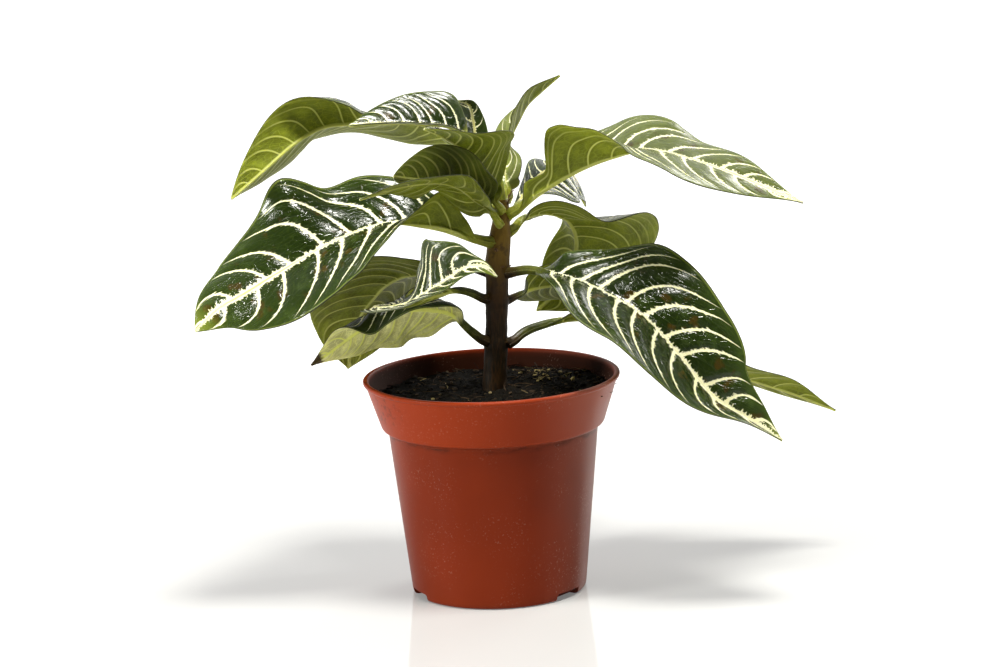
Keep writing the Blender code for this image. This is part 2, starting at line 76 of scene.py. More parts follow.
# The middle of the band's wall: its radius at one height and how much wider it gets for each millimetre up
WALL_RADIUS = 56.3
WALL_HEIGHT = 88.3
WALL_SLOPE = 0.3205

# The soil's surface, its side from the rim down to the floor, and the hole that the stem stands in
SOIL_TOP = 105.0
SOIL_SIDE = [(55.25, 89.2), (54.6, 88.5), (52.5, 88.0), (51.75, 86.8), (42.75, 3.4), (42.0, 2.5), (41.5, 2.3)]
HOLE_FLOOR = 42.0
HOLE_RADIUS = 6.75

# The middle of the soil's heap, how far from the pot's middle the crumbs start and end, and their seed
HEAP = (26.0, 22.0)
CRUMBS_FROM = 9.0
CRUMBS_TO = 58.0
CRUMB_SEED = 41

# Stem: height, distance of the middle from the pot's middle line along X, radius
STEM = [
    (44.0, 1.6, 4.6), (46.0, 1.6, 5.9), (60.0, 1.6, 6.3), (100.0, 1.6, 6.3), (108.0, 1.7, 6.3),
    (118.0, 2.4, 5.9), (124.5, 2.9, 5.9), (127.0, 3.0, 6.3), (129.5, 3.2, 6.3), (132.0, 3.3, 5.7),
    (140.0, 3.9, 5.5), (147.0, 4.3, 5.7), (149.5, 4.5, 6.1), (152.0, 4.6, 6.0), (155.0, 4.7, 5.6),
    (161.0, 5.0, 5.7), (165.0, 5.1, 6.3), (168.0, 5.3, 6.4), (172.0, 5.6, 6.2), (178.0, 6.4, 5.9),
    (182.0, 7.0, 5.7), (186.0, 7.5, 5.1), (190.0, 8.0, 4.6), (194.0, 8.4, 4.2), (198.0, 8.7, 3.8),
    (201.0, 8.8, 3.3), (202.2, 8.8, 2.2),
]

# Dried scales: height, bearing about the stem in degrees, length
SCALES = [
    (148.5, 188.0, 4.5), (150.0, 215.0, 3.0), (151.0, -20.0, 2.6), (128.0, -35.0, 2.4), (167.0, -65.0, 3.6),
    (166.0, 12.0, 3.0), (176.0, -100.0, 4.0), (200.0, 35.0, 9.0), (199.0, -25.0, 7.0),
]

# Colours of small parts, as linear red, green and blue
FIBRE = (0.10, 0.07, 0.04)
BARK_CHIP = (0.05, 0.032, 0.018)
STRAW = (0.38, 0.30, 0.13)
BARK_BLOTCH = (0.016, 0.008, 0.004)
SCALE_SHADES = ((0.030, 0.013, 0.005), (0.17, 0.10, 0.035))
GREEN_STALK = ((0.05, 0.06, 0.008), (0.09, 0.10, 0.016))
CROWN_STALK = ((0.20, 0.22, 0.020), (0.32, 0.33, 0.045))
GREEN_TIP = (0.17, 0.21, 0.025)
GREEN_RIM = (0.16, 0.20, 0.03)
DARK_MARGIN = (0.012, 0.012, 0.004)
DEAD_TIP = (0.035, 0.014, 0.007)
BROWN_SPOT = (0.045, 0.026, 0.004)
BROWN_SPECK = (0.03, 0.022, 0.008)
BROWN_MARGIN = (0.05, 0.045, 0.012)

# Area lights: name, place in metres, side, power, colour, spread in degrees; and the place that all aim at
LIGHTS = [
    ("top_light", (0.10, -0.50, 1.70), 0.40, 8.5, (1.0, 0.985, 0.93), 75.0),
    ("back_light", (1.10, 1.20, 0.90), 0.80, 8.0, (1.0, 0.98, 0.93), 120.0),
    ("left_light", (-1.35, -0.60, 0.55), 0.35, 9.5, (1.0, 0.99, 0.95), 120.0),
]
LIGHT_AIM = (0.0, 0.0, 0.15)

# What the camera looks at, and the metres from the plant between which the floor's glow comes up
VIEW_MIDDLE = (5.3, 0.0, 133.0)
GLOW_FROM = 0.17
GLOW_TO = 0.60

# How thick a blade is and how wide the narrow wings are that it adds to its stalk
BLADE = 0.8
WING = 0.6

# How much of the way across a half is the midrib's, the share of the grid's columns laid on it, and how many
# places along it have their direction worked out
RIB_SHARE = 0.25
RIB_COLUMNS = 0.16
FRAMES = 401

# What each point of a leaf tells its materials: where it lies between the side veins, how far they are apart,
# its place from midrib to margin and from stalk to tip, its distances from the midrib and from the stem, and
# how much it is stalk
MEASURES = ("vein", "gap", "edge", "blade", "rib", "run", "stalk")

# Each leaf: the points its midrib passes, the length of its stalk, the stalk's thickness, the widths of its
# left and right halves, where it is widest and how fast it narrows to its tip. Poise rows give the place on
# the blade, the rise of the left and right halves and, on two leaves, how far each rolls towards its margin.
# Trim rows give how much of its usual width each half keeps there. Wave gives the height of the margin's
# waves, their count and where each margin starts. Veins are the pairs of side veins and age runs from 0 young
# to 1 old. Pale tells how far the upper side is lightened, partly for real bleaching and partly as painted
# light for backlight shining through the blade and glancing off it. Under is the colour of an underside that
# differs from the others; the darker ones are painted shade on undersides that other leaves shade. Withered
# tells how far the tip has dried.
EVEN = [(0, 1, 1), (1, 1, 1)]
LEAVES = [
    dict(
        name="leaf_low_left", slot="leaf_olive", stalk=16, thick=4.0, wide=(20, 22), widest=0.42, sharp=1.2,
        midrib=[(-2.9, -4.5, 130), (-10, -7, 137), (-19, -9, 146), (-30, -11, 149), (-45, -13, 149),
                (-57, -15, 145), (-70, -18, 138), (-81, -22, 131), (-90, -26, 126)],
        poise=[(0, 60, -65, -60, 20), (0.3, 90, -60, -170, 20), (0.5, 75, -50, -170, 0),
               (0.62, 70, -48, -160, 0), (0.8, 55, -42, 0, 0), (1, 50, -35, 0, 0)],
        trim=[(0, 1, 1), (0.45, 1, 1), (0.6, 1.3, 1), (0.75, 1, 1), (1, 1, 1)],
        wave=(1.5, 3.2, 0.1, 0.3), veins=10, age=1.0, under=(0.66, 0.66, 0.28), withered=0.95,
    ),
    dict(
        name="leaf_low_right", slot="leaf_yellow_green", stalk=22, thick=4.2, wide=(24, 24), widest=0.45,
        sharp=1.3,
        midrib=[(11.2, -3.5, 128.5), (16.5, 0, 132.5), (28, 4, 136), (44, 10, 137), (62, 16, 133),
                (82, 22, 124), (103, 26, 114), (123, 28, 102), (139, 30, 95), (154, 32, 89), (178, 34, 78)],
        poise=[(0, -20, 50), (0.2, -20, 25), (0.65, -20, 25), (0.85, -20, 50), (1, -20, 50)],
        wave=(1.5, 3.0, 0.1, 0.5), veins=13, age=1.0, pale=1.0,
    ),
    dict(
        name="leaf_turned_left", slot="leaf_dark_green", stalk=18, thick=3.6, wide=(24, 15), widest=0.62,
        sharp=1.2,
        midrib=[(-1.8, -3.2, 151.5), (-8, -8, 156), (-15, -14, 159), (-24, -22, 159), (-39, -32, 158),
                (-52, -42, 158), (-56, -50, 159), (-51, -58, 160), (-39, -62, 163), (-28, -65, 169),
                (-19, -68, 175), (-10, -71, 181), (-3, -74, 182), (5, -76, 177)],
        poise=[(0, 60, -60), (0.2, 60, -50), (0.33, 28, -30), (0.6, 28, -16), (0.7, 75, -20), (0.8, 95, -35),
               (1, 90, -40)],
        trim=[(0, 1, 1), (0.3, 1, 0.8), (0.45, 0.8, 0.5), (0.6, 0.7, 0.8), (0.7, 0.7, 1), (0.78, 1.15, 1),
              (0.86, 0.95, 1), (0.91, 0.5, 1), (1, 0.5, 1)],
        wave=(0.8, 2.0, 0.0, 0.5), veins=20, age=0.7,
    ),
    dict(
        name="leaf_small_right", slot="leaf_dark_green", stalk=9, thick=3.2, wide=(18, 16), widest=0.4,
        sharp=1.2,
        midrib=[(10.3, 3.6, 149.5), (14.5, 8, 150.5), (22, 16, 152), (32, 24, 152), (43, 31, 150),
                (55, 37, 144), (64, 42, 136)],
        poise=[(0, -30, 80), (0.2, -30, 65), (0.3, -30, 50), (0.5, -35, 36), (0.7, -30, 50), (1, -30, 55)],
        wave=(1.0, 2.0, 0.2, 0.4), veins=7, age=0.8,
    ),
    dict(
        name="leaf_hanging_left", slot="leaf_olive", stalk=18, thick=4.0, wide=(34, 34), widest=0.45,
        sharp=1.2,
        midrib=[(-1.3, 2.7, 165), (-8.5, 6, 166.5), (-19, 12, 165), (-32, 18, 162), (-43, 24, 160),
                (-53, 30, 154), (-59, 36, 147), (-65, 42, 139), (-72, 50, 123), (-75, 56, 106)],
        poise=[(0, 25, -5), (0.3, 32, -5), (0.6, 30, -5), (0.8, 45, -35), (1, 30, -60)],
        trim=[(0, 1, 1), (0.6, 1, 1), (0.8, 1.1, 1.1), (0.9, 1.2, 1.3), (1, 1.2, 1.3)],
        wave=(1.5, 2.5, 0.0, 0.4), veins=11, age=0.8, under=(0.14, 0.16, 0.016),
    ),
    dict(
        name="leaf_broad_right", slot="leaf_dark_green", stalk=17, thick=4.2, wide=(36, 35), widest=0.4,
        sharp=1.2,
        midrib=[(11.5, -3.4, 165), (21.5, -9, 167), (31, -15, 166), (45, -24, 163), (58, -32, 158),
                (77, -42, 147), (93, -50, 129), (111, -58, 107), (129, -64, 96), (142, -70, 88)],
        poise=[(0, 60, 10), (0.15, 40, 5), (0.25, 42, -5), (0.42, 55, -5), (0.7, 62, 0), (0.85, 60, 12),
               (1, 50, 15)],
        trim=[(0, 0.8, 1), (0.1, 0.8, 1), (0.18, 0.83, 1), (0.29, 1, 1), (0.4, 0.95, 1), (0.5, 0.93, 1),
              (0.6, 0.98, 1), (0.75, 1.08, 1), (1, 1, 1)],
        wave=(1.0, 2.2, 0.55, 0.1), veins=11, age=0.7,
    ),
    dict(
        name="leaf_broad_left", slot="leaf_dark_green", stalk=10, thick=4.6, wide=(35, 37), widest=0.52,
        sharp=1.0,
        midrib=[(1.8, -3.8, 181), (-11.5, -12, 186.5), (-22, -16, 191), (-32, -20, 194), (-43, -22, 196),
                (-54, -24, 195), (-74, -28, 189), (-104, -36, 175), (-122, -42, 166), (-133, -46, 161),
                (-145, -52, 151)],
        poise=[(0, 80, 60), (0.15, 80, 60), (0.27, 0, 55), (0.42, -25, 50), (0.53, -30, 68), (0.62, -35, 58),
               (0.8, -55, 47), (1, -60, 45)],
        trim=[(0, 1, 1), (0.15, 1, 1), (0.25, 0.5, 0.95), (0.33, 0.7, 0.97), (0.43, 0.95, 0.86),
              (0.53, 1, 1.1), (0.63, 1, 0.93), (0.72, 1, 0.9), (0.82, 1, 0.95), (1, 1, 1)],
        wave=(1.0, 2.2, 0.3, 0.1), veins=10, age=0.7,
    ),
    dict(
        name="leaf_bent_right", slot="leaf_yellow_green", stalk=6, thick=4.0, wide=(20, 38), widest=0.5,
        sharp=1.2,
        midrib=[(13.6, 2.8, 185), (19, 9, 190), (28, 14, 192), (36, 19, 190), (42, 24, 186), (46, 30, 177),
                (46, 36, 167), (42, 42, 156), (35, 47, 144), (25, 50, 134)],
        poise=[(0, -45, 40), (0.1, -40, 40), (0.2, -25, 25), (0.3, -10, 15), (0.4, 5, 45), (0.5, 20, 58),
               (0.7, 0, 60), (0.8, -20, 50), (1, -30, 50)],
        trim=[(0, 1, 1), (0.3, 1, 1), (0.45, 1, 1.1), (0.6, 1, 1.1), (1, 1, 1)],
        wave=(1.0, 2.0, 0.3, 0.1), veins=11, age=0.4, pale=0.7,
    ),
    dict(
        name="leaf_narrow_left", slot="leaf_olive", stalk=9, thick=3.4, wide=(18, 15), widest=0.45,
        sharp=1.2,
        midrib=[(7.1, -6.1, 190.5), (2.5, -14, 199.5), (-4, -22, 206), (-12, -34, 214.5), (-20, -45, 219),
                (-29, -56, 221), (-41, -65, 221), (-60, -73, 217)],
        poise=[(0, -20, -60), (0.1, -20, -55), (0.2, -20, -15), (0.3, -15, 0), (0.4, -10, -10),
               (0.5, 5, -30), (0.65, 15, -30), (0.8, 20, -20), (1, 20, -20)],
        wave=(1.0, 2.0, 0.3, 0.1), veins=9, age=0.3, under=(0.12, 0.14, 0.010),
    ),
    dict(
        name="leaf_short_right", slot="leaf_dark_green", stalk=14, thick=3.2, wide=(13, 20), widest=0.5,
        sharp=1.2,
        midrib=[(11.4, 4.3, 191), (18, 20, 197), (25, 36, 204), (34, 50, 208), (43, 62, 206), (50, 72, 195),
                (53, 80, 183)],
        poise=[(0, 10, -20), (0.5, 10, -50), (1, 10, -40)],
        trim=[(0, 0.3, 0.3), (0.3, 0.5, 0.6), (0.5, 1, 1), (1, 1, 1)],
        wave=(1.0, 2.0, 0.3, 0.1), veins=9, age=0.3,
    ),
    dict(
        name="leaf_long_right", slot="leaf_dark_green", stalk=5, thick=4.2, wide=(34, 38), widest=0.45,
        sharp=1.6,
        midrib=[(13.9, -2, 195), (23.5, -2, 202), (36, -4, 210), (52, -6, 218), (66, -9, 223),
                (79, -12, 226), (91, -16, 225), (105, -20, 221), (122, -24, 215), (138, -28, 208),
                (158, -34, 200)],
        poise=[(0, 40, 60), (0.12, 30, 75), (0.24, 22, 68), (0.33, 16, 55), (0.42, 16, 24), (0.6, 2, 5),
               (0.8, 20, -5), (1, 30, -20)],
        trim=[(0, 0.7, 1.5), (0.05, 0.7, 1.2), (0.1, 0.6, 0.55), (0.14, 0.6, 0.4), (0.17, 0.8, 0.8),
              (0.2, 0.9, 1.05), (0.24, 1, 1), (0.3, 1, 0.75), (0.36, 1, 0.7), (0.43, 0.95, 0.85),
              (0.5, 0.92, 1), (1, 1, 1)],
        wave=(1.0, 2.0, 0.3, 0.1), veins=12, age=0.3, pale=0.45,
    ),
    dict(
        name="leaf_arching_left", slot="leaf_olive", stalk=22, thick=4.0, wide=(30, 30), widest=0.55,
        sharp=1.0,
        midrib=[(2.5, 0.5, 196.5), (-2.5, 7, 208), (-8, 12, 223), (-18, 17, 234), (-32, 20, 239.5),
                (-50, 22, 240), (-66, 17, 241), (-80, 7, 241), (-94, -5, 235), (-108, -17, 225),
                (-125, -32, 213)],
        poise=[(0, 30, -35, 0, 0), (0.15, 32, -70, 0, 0), (0.3, 47, -66, 0, 0), (0.4, 80, -48, -40, 0),
               (0.5, 120, -53, -130, 0), (0.6, 140, -68, -130, 0), (0.7, 145, -71, -40, 0),
               (0.8, 145, -69, -20, 0), (1, 140, -65, 0, 0)],
        trim=[(0, 0.3, 1), (0.3, 0.3, 1), (0.42, 0.4, 1), (0.5, 0.7, 1), (0.6, 1, 1), (0.7, 0.78, 1),
              (0.8, 0.73, 1), (1, 0.75, 1)],
        wave=(0.8, 2.0, 0.3, 0.1), veins=16, age=0.2,
    ),
    dict(
        name="leaf_striped_left", slot="leaf_dark_green", stalk=38, thick=3.4, wide=(7, 18), widest=0.3,
        sharp=1.0,
        midrib=[(8.8, 0.2, 202.8), (7.5, 1, 212), (3, 2, 224), (-6, 2, 234), (-17, 1, 240), (-30, -1, 242),
                (-48, -3, 243.5), (-66, -7, 243.5)],
        poise=[(0, 45, 30), (0.3, 45, 20), (0.6, 45, 15), (1, 45, 10)],
        trim=[(0, 0.3, 0.3), (0.08, 0.6, 0.6), (0.16, 1, 0.95), (0.3, 1, 1), (1, 1, 1)],
        wave=(0.6, 2.0, 0.3, 0.1), veins=8, age=0.4,
    ),
    dict(
        name="leaf_young_left", slot="leaf_olive", stalk=10, thick=3.2, wide=(19, 13), widest=0.5, sharp=0.9,
        midrib=[(4.7, -3.8, 195), (0, -13, 203), (-6, -20, 210), (-14, -26, 215), (-22, -33, 218),
                (-33, -39, 220), (-44, -45, 223)],
        poise=[(0, 40, 5), (0.2, 22, 0), (0.35, 20, -3), (0.5, 45, -5), (0.6, 60, -5), (0.75, 82, -8),
               (1, 95, -15)],
        wave=(0.8, 2.0, 0.3, 0.1), veins=11, age=0.1, under=(0.05, 0.062, 0.004),
    ),
    dict(
        name="leaf_young_back", slot="leaf_olive", stalk=12, thick=3.0, wide=(16, 6), widest=0.5, sharp=1.1,
        midrib=[(7, 4.6, 197.5), (-0.5, 22, 211.5), (-3, 32, 227), (-4, 35, 238), (-6, 33, 246),
                (-12, 27, 249)],
        poise=[(0, -60, 30), (1, -60, 30)],
        wave=(0.8, 2.0, 0.3, 0.1), veins=7, age=0.0,
    ),
    dict(
        name="leaf_crown_left", slot="leaf_olive", stalk=8, thick=3.2, wide=(24, 12), widest=0.5, sharp=0.9,
        midrib=[(9.4, -6, 197), (3, -11, 206.5), (-2, -17, 220), (-8, -22, 230), (-17, -28, 238),
                (-28, -38, 245)],
        poise=[(0, 88, 15), (0.3, 86, 15), (0.45, 52, 8), (0.6, 25, 5), (0.8, 15, 22), (1, 15, 25)],
        wave=(0.8, 2.0, 0.3, 0.1), veins=10, age=0.1, under=(0.15, 0.18, 0.012),
    ),
    dict(
        name="leaf_crown_tip", slot="leaf_yellow_green", stalk=6, thick=3.0, wide=(11, 18), widest=0.42,
        sharp=1.0,
        midrib=[(12.9, 3.9, 200), (12, 8.5, 214.5), (14, 20, 229), (19, 24, 238), (24, 26, 246),
                (31, 27, 252), (41, 27, 260)],
        poise=[(0, -40, 60), (0.1, -42, 62), (0.19, -45, 58), (0.33, -48, 95), (0.5, -50, 100),
               (0.65, -50, 102), (0.8, -50, 117), (1, -50, 115)],
        trim=[(0, 1, 1), (0.1, 1, 1), (0.2, 1, 0.6), (0.3, 1, 0.3), (0.4, 1, 0.5), (0.55, 1, 1),
              (0.7, 0.4, 1), (1, 0.4, 1)],
        wave=(0.8, 2.0, 0.3, 0.1), veins=9, age=0.1, pale=1.0,
    ),
]


def colour_property(name, description, default):
    return FloatVectorProperty(name=name, description=description, default=default, subtype="COLOR", size=3,
                               min=0, max=1)


def length_property(name, description, default):
    return FloatProperty(name=name, description=description, default=default, min=0, unit="LENGTH",
                         subtype="DISTANCE")


def angle_property(name, description, degrees):
    return FloatProperty(name=name, description=description, default=math.radians(degrees), unit="ROTATION",
                         subtype="ANGLE")


class PotSettings(PropertyGroup):
    colour: colour_property("Plastic", "Colour of the moulded plastic", (0.17, 0.020, 0.004))
    # Used for the dirt splashes on the band's left, and as painted shade under the band and on the inner
    # wall.
    stain_and_shade: colour_property("Stained Wall", "Colour of the soiled wall over the soil", (0.022, 0.006, 0.002))
    dust: colour_property("Dust", "Colour of the dry dust on the plastic", (0.62, 0.42, 0.34))
    roughness: FloatProperty(name="Roughness", description="Roughness of the clean plastic", default=0.36,
                             min=0, max=1, subtype="FACTOR")
    slot_width: length_property("Slot Width", "Width of each drain slot at the foot", 0.018)
    slot_height: length_property("Slot Height", "Height of each drain slot at the foot", 0.004)
    slot_depth: length_property("Slot Reach", "Radius at which the drain slots end under the floor", 0.038)
    rounding: length_property("Edge Rounding", "Radius of the moulded edges", 0.0006)
    sides: IntProperty(name="Sides", description="Faces around the pot", default=168, min=24, max=400)


class SoilSettings(PropertyGroup):
    colour: colour_property("Soil", "Colour of the dry crumbs", (0.008, 0.006, 0.003))
    deep: colour_property("Deep Soil", "Colour between the crumbs", (0.002, 0.0015, 0.001))
    crumbs: IntProperty(name="Crumbs", description="Loose crumbs, chips and fibres on top", default=620,
                        min=0, max=2000)


class StemSettings(PropertyGroup):
    bark: colour_property("Bark", "Colour of the old stem near the soil", (0.007, 0.0045, 0.0015))
    warm: colour_property("Warm Bark", "Colour of the bark's lighter streaks", (0.027, 0.012, 0.003))
    green: colour_property("Young Stem", "Colour of the stem under the crown", (0.13, 0.078, 0.010))
    bump: length_property("Bark Relief", "Height of the bark's ridges", 0.00025)


class LeafSettings(PropertyGroup):
    dark: colour_property("Blade", "Colour of a grown leaf's upper side", (0.008, 0.015, 0.002))
    fresh: colour_property("Fresh Blade", "Lighter green towards the margins", (0.032, 0.052, 0.009))
    vein: colour_property("Veins", "Colour of the pale bands along the veins", (0.74, 0.72, 0.46))
    ridge: colour_property("Midrib Ridge", "Colour of the midrib's ridge", (0.36, 0.33, 0.06))
    # The pale blade colour is partly painted light, standing in for backlight shining through a leaf and its
    # sheen.
    pale: colour_property("Pale Blade", "Colour of a bleached leaf's upper side", (0.17, 0.20, 0.045))
    under: colour_property("Underside", "Colour of the underside", (0.18, 0.208, 0.017))
    under_vein: colour_property("Underside Veins", "Colour of the veins below", (0.50, 0.52, 0.13))
    bark: colour_property("Old Stalk", "Colour of the oldest stalks", (0.040, 0.022, 0.006))
    quilt: length_property("Quilting", "Height of the blade between its side veins", 0.0011)
    band: length_property("Vein Band", "Half width of the pale band along a side vein", 0.00095)


class StageSettings(PropertyGroup):
    floor: colour_property("Floor", "Colour of the floor", (0.42, 0.42, 0.415))
    distance: length_property("Camera Distance", "From the camera to the middle of the view", 1.9)
    lift: angle_property("Camera Elevation", "How far the camera looks down", 11.7)
    roll: angle_property("Camera Roll", "How far the camera leans over", 2.3)
    lens: FloatProperty(name="Lens", description="Focal length on a 36 mm sensor", default=134.6, min=1,
                        unit="CAMERA")


# Meshes


def new_mesh(name, bm):
    """The finished bmesh as a mesh."""
    mesh = bpy.data.meshes.new(name)
    bm.to_mesh(mesh)
    bm.free()
    return mesh


def linked(name, data):
    """A new object in the scene."""
    obj = bpy.data.objects.new(name, data)
    bpy.context.scene.collection.objects.link(obj)
    return obj


def piece(name, mesh, materials, replaced=()):
    """Links a finished piece, hands it its materials and ties it to the frame."""
    obj = linked(name, mesh)
    for made in materials:
        mesh.materials.append(made)
    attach(obj, "root")
    if replaced:
        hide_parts(*replaced)
    return obj


def smooth(mesh, crease):
    mesh.shade_smooth()
    mesh.set_sharp_from_angle(angle=math.radians(crease))


def rounded(profile, radius):
    """The profile with each corner cut to a small arc of four points."""
    made = [profile[0]]
    for corners in zip(profile, profile[1:], profile[2:]):
        before, corner, after = (Vector(point) for point in corners)
        back, ahead = before - corner, after - corner
        cut = min(radius, 0.42 * back.length, 0.42 * ahead.length)
        start, end = corner + back.normalized() * cut, corner + ahead.normalized() * cut
        for step in range(4):
            u = step / 3
            made.append(tuple(start * (1 - u) ** 2 + corner * 2 * u * (1 - u) + end * u * u))
    made.append(profile[-1])
    return made


def turned(profile, sides):
    """A closed body turned about the Z axis from (radius, height) points, first and last on the axis."""
    bm = bmesh.new()
    line = [bm.verts.new((radius * MM, 0.0, height * MM)) for radius, height in profile]
    edges = [bm.edges.new(pair) for pair in zip(line, line[1:])]
    bmesh.ops.spin(bm, geom=line + edges, cent=(0, 0, 0), axis=(0, 0, 1), angle=2 * math.pi, steps=sides,
                   use_merge=True)
    bmesh.ops.remove_doubles(bm, verts=bm.verts, dist=0.000005)
    bmesh.ops.recalc_face_normals(bm, faces=bm.faces)
    return bm


def lumps(x, y, z, size, seed=0.0):
    """Smooth noise of about plus or minus one, with lumps of this size in millimetres."""
    return noise.noise(Vector((x / size + seed, y / size, z / size)))


def flowing(keys, values, at):
    """Smooth curves through rows of values given at the keys."""
    keys = np.asarray(keys, float)
    values = np.asarray(values, float)
    steps = np.diff(keys)
    slopes = np.diff(values, axis=0) / steps[:, None]
    tangents = np.empty_like(values)
    tangents[0] = slopes[0]
    tangents[-1] = slopes[-1]
    mix = (steps[1:] / (steps[1:] + steps[:-1]))[:, None]
    tangents[1:-1] = slopes[:-1] * mix + slopes[1:] * (1 - mix)
    i = np.clip(np.searchsorted(keys, at, side="right") - 1, 0, len(keys) - 2)
    h = steps[i][:, None]
    u = np.clip((at - keys[i]) / steps[i], 0, 1)[:, None]
    ends = values[i] * (1 + 2 * u) * (1 - u) ** 2 + values[i + 1] * u * u * (3 - 2 * u)
    return ends + tangents[i] * h * u * (1 - u) ** 2 - tangents[i + 1] * h * u * u * (1 - u)


# Materials


class Value:
    """A socket in a node tree, so that sums of values are written as sums."""

    def __init__(self, shader, socket):
        self.shader = shader
        self.socket = socket

    def __add__(self, other):
        return self.shader.math("ADD", self, other)

    def __sub__(self, other):
        return self.shader.math("SUBTRACT", self, other)

    def __rsub__(self, other):
        return self.shader.math("SUBTRACT", other, self)

    def __mul__(self, other):
        return self.shader.math("MULTIPLY", self, other)

    def __abs__(self):
        return self.shader.math("ABSOLUTE", self)

    __radd__ = __add__
    __rmul__ = __mul__


class Shader:
    """The node tree of a new material or world."""

    def __init__(self, name, kind="materials"):
        self.owner = getattr(bpy.data, kind).new(name)
        self.owner.use_nodes = True
        self.tree = self.owner.node_tree

    def put(self, socket, value):
        if isinstance(value, Value):
            self.tree.links.new(value.socket, socket)
        elif hasattr(value, "__len__"):
            socket.default_value = (*value, 1.0)[:len(socket.default_value)]
        else:
            socket.default_value = value

    def node(self, kind, inputs=(), output=0, **settings):
        made = self.tree.nodes.new("ShaderNode" + kind)
        for key, value in settings.items():
            setattr(made, key, value)
        for key, value in dict(inputs).items():
            self.put(made.inputs[key], value)
        return Value(self, made.outputs[output])

    def math(self, operation, *values):
        return self.node("Math", enumerate(values), operation=operation)

    def step(self, value, low, high, to_low=0.0, to_high=1.0):
        """Eases from to_low at low to to_high at high."""
        limits = {"Value": value, "From Min": low, "From Max": high, "To Min": to_low, "To Max": to_high}
        return self.node("MapRange", limits, interpolation_type="SMOOTHSTEP")

    def mix(self, amount, first, second):
        """The colour that goes from first to second with the amount."""
        return self.node("Mix", {"Factor": amount, 6: first, 7: second}, output=2, data_type="RGBA")

    def place(self):
        return self.node("TexCoord", output="Object")

    def split(self, vector):
        """The three parts of a vector."""
        parts = self.node("SeparateXYZ", {"Vector": vector}).socket.node.outputs
        return [Value(self, part) for part in parts]

    def vector(self, *parts):
        return self.node("CombineXYZ", enumerate(parts))

    def stretched(self, vector, *scale):
        return self.node("Mapping", {"Vector": vector, "Scale": scale})

    def noise(self, vector, scale, detail=2.0, rough=0.5):
        inputs = {"Vector": vector, "Scale": scale, "Detail": detail, "Roughness": rough}
        return self.node("TexNoise", inputs, output="Fac")

    def bump(self, height, distance, strength, below=None):
        inputs = {"Height": height, "Distance": distance, "Strength": strength}
        if below is not None:
            inputs["Normal"] = below
        return self.node("Bump", inputs)

    def finish(self, target="Principled BSDF", **sockets):
        for name, value in sockets.items():
            self.put(self.tree.nodes[target].inputs[name.replace("_", " ")], value)
        return self.owner


def times(colour, factor):
    """The colour made darker or lighter, no lighter than white."""
    return tuple(min(1.0, value * factor) for value in colour)


def plastic_material(settings):
    """Moulded terracotta plastic: satin, dusty, paler on the band, with painted shadow under it and painted
    shade inside.
    """
    s = Shader("terracotta_plastic")
    place = s.place()
    x, y, height = (part * (1 / MM) for part in s.split(place))
    streaks = s.noise(s.stretched(place, 1.0, 1.0, 0.12), 160.0, 3.0, 0.6)
    clouds = s.noise(place, 14.0)
    side = s.step(x, 15.0, 55.0)
    dust = s.step(s.noise(place, 900.0, 2.0, 0.6), 0.60, 0.70) * s.step(s.noise(place, 38.0), 0.42, 0.62)
    dust = dust * (0.25 + 0.75 * side)
    colour = s.mix(s.step(clouds, 0.35, 0.68), times(settings.colour, 0.88), times(settings.colour, 1.08))
    colour = s.mix(0.35 * s.step(streaks, 0.45, 0.75), colour, settings.colour)
    on_band = s.step(height, BAND_FOOT - 0.7, BAND_FOOT + 1.3)
    colour = s.mix(0.75 * on_band, colour, times(settings.colour, 1.55))
    colour = s.mix(0.10 * side, colour, settings.dust)

    # Painted shadow: a ragged dark line just under the band's step, where the ledge shades the body.
    shadow_breaks = s.step(s.noise(s.stretched(place, 0.6, 0.6, 2.0), 110.0, 4.0, 0.7), 0.40, 0.66)
    ledge_shadow = s.step(height, BAND_FOOT - 4.7, BAND_FOOT - 1.7) * s.step(height, BAND_FOOT, BAND_FOOT - 1.2)
    colour = s.mix(0.62 * ledge_shadow * shadow_breaks, colour, settings.stain_and_shade)
    splashes = s.step(x, -40.0, -58.0) * s.step(s.noise(place, 340.0, 3.0, 0.65), 0.52, 0.62)
    splashes = splashes * s.step(height, BAND_FOOT + 1.8, BAND_FOOT + 11.8)
    colour = s.mix(0.5 * splashes, colour, settings.stain_and_shade)

    # Painted shade: the inner wall over the soil is darkened, more so further down.
    middle = WALL_RADIUS + WALL_SLOPE * (height - WALL_HEIGHT)
    inside = s.step(middle - s.math("SQRT", x * x + y * y), 0.0, 0.4)
    inside = inside * s.step(height, RIM_TOP + 0.5, RIM_TOP - 2.5)
    inside = inside * s.step(height, BAND_FOOT + 0.8, BAND_FOOT + 2.3)
    colour = s.mix(inside * s.step(height, RIM_TOP, RIM_TOP - 5.0, 0.84, 0.97), colour, settings.stain_and_shade)
    colour = s.mix(0.36 * dust, colour, settings.dust)
    scuffs = s.step(s.noise(s.stretched(place, 0.3, 0.3, 3.0), 420.0, 2.0, 0.7), 0.62, 0.72)
    rough = settings.roughness - 0.03 + 0.06 * clouds + 0.25 * dust + 0.06 * scuffs + 0.4 * inside
    grain = 0.5 * s.noise(place, 1500.0) + 0.5 * streaks
    normal = s.bump(grain, 0.00005, 0.6)
    return s.finish(Base_Color=colour, Roughness=rough, Normal=normal, Specular_IOR_Level=0.07)


def soil_material(settings):
    """Damp peat: near black, crumbly, with paler fibres."""
    s = Shader("potting_soil")
    place = s.place()
    crumbs = s.noise(place, 420.0, 5.0, 0.7)
    coarse = s.noise(place, 120.0, 3.0, 0.6)
    fibres = s.step(s.noise(s.stretched(place, 3.0, 0.5, 1.0), 700.0), 0.66, 0.74)
    colour = s.mix(s.step(0.6 * crumbs + 0.4 * coarse, 0.42, 0.66), settings.deep, settings.colour)
    colour = s.mix(0.35 * fibres, colour, FIBRE)
    normal = s.bump(0.7 * crumbs + coarse, 0.0018, 0.9)
    return s.finish(Base_Color=colour, Roughness=0.92, Normal=normal, Specular_IOR_Level=0.08)


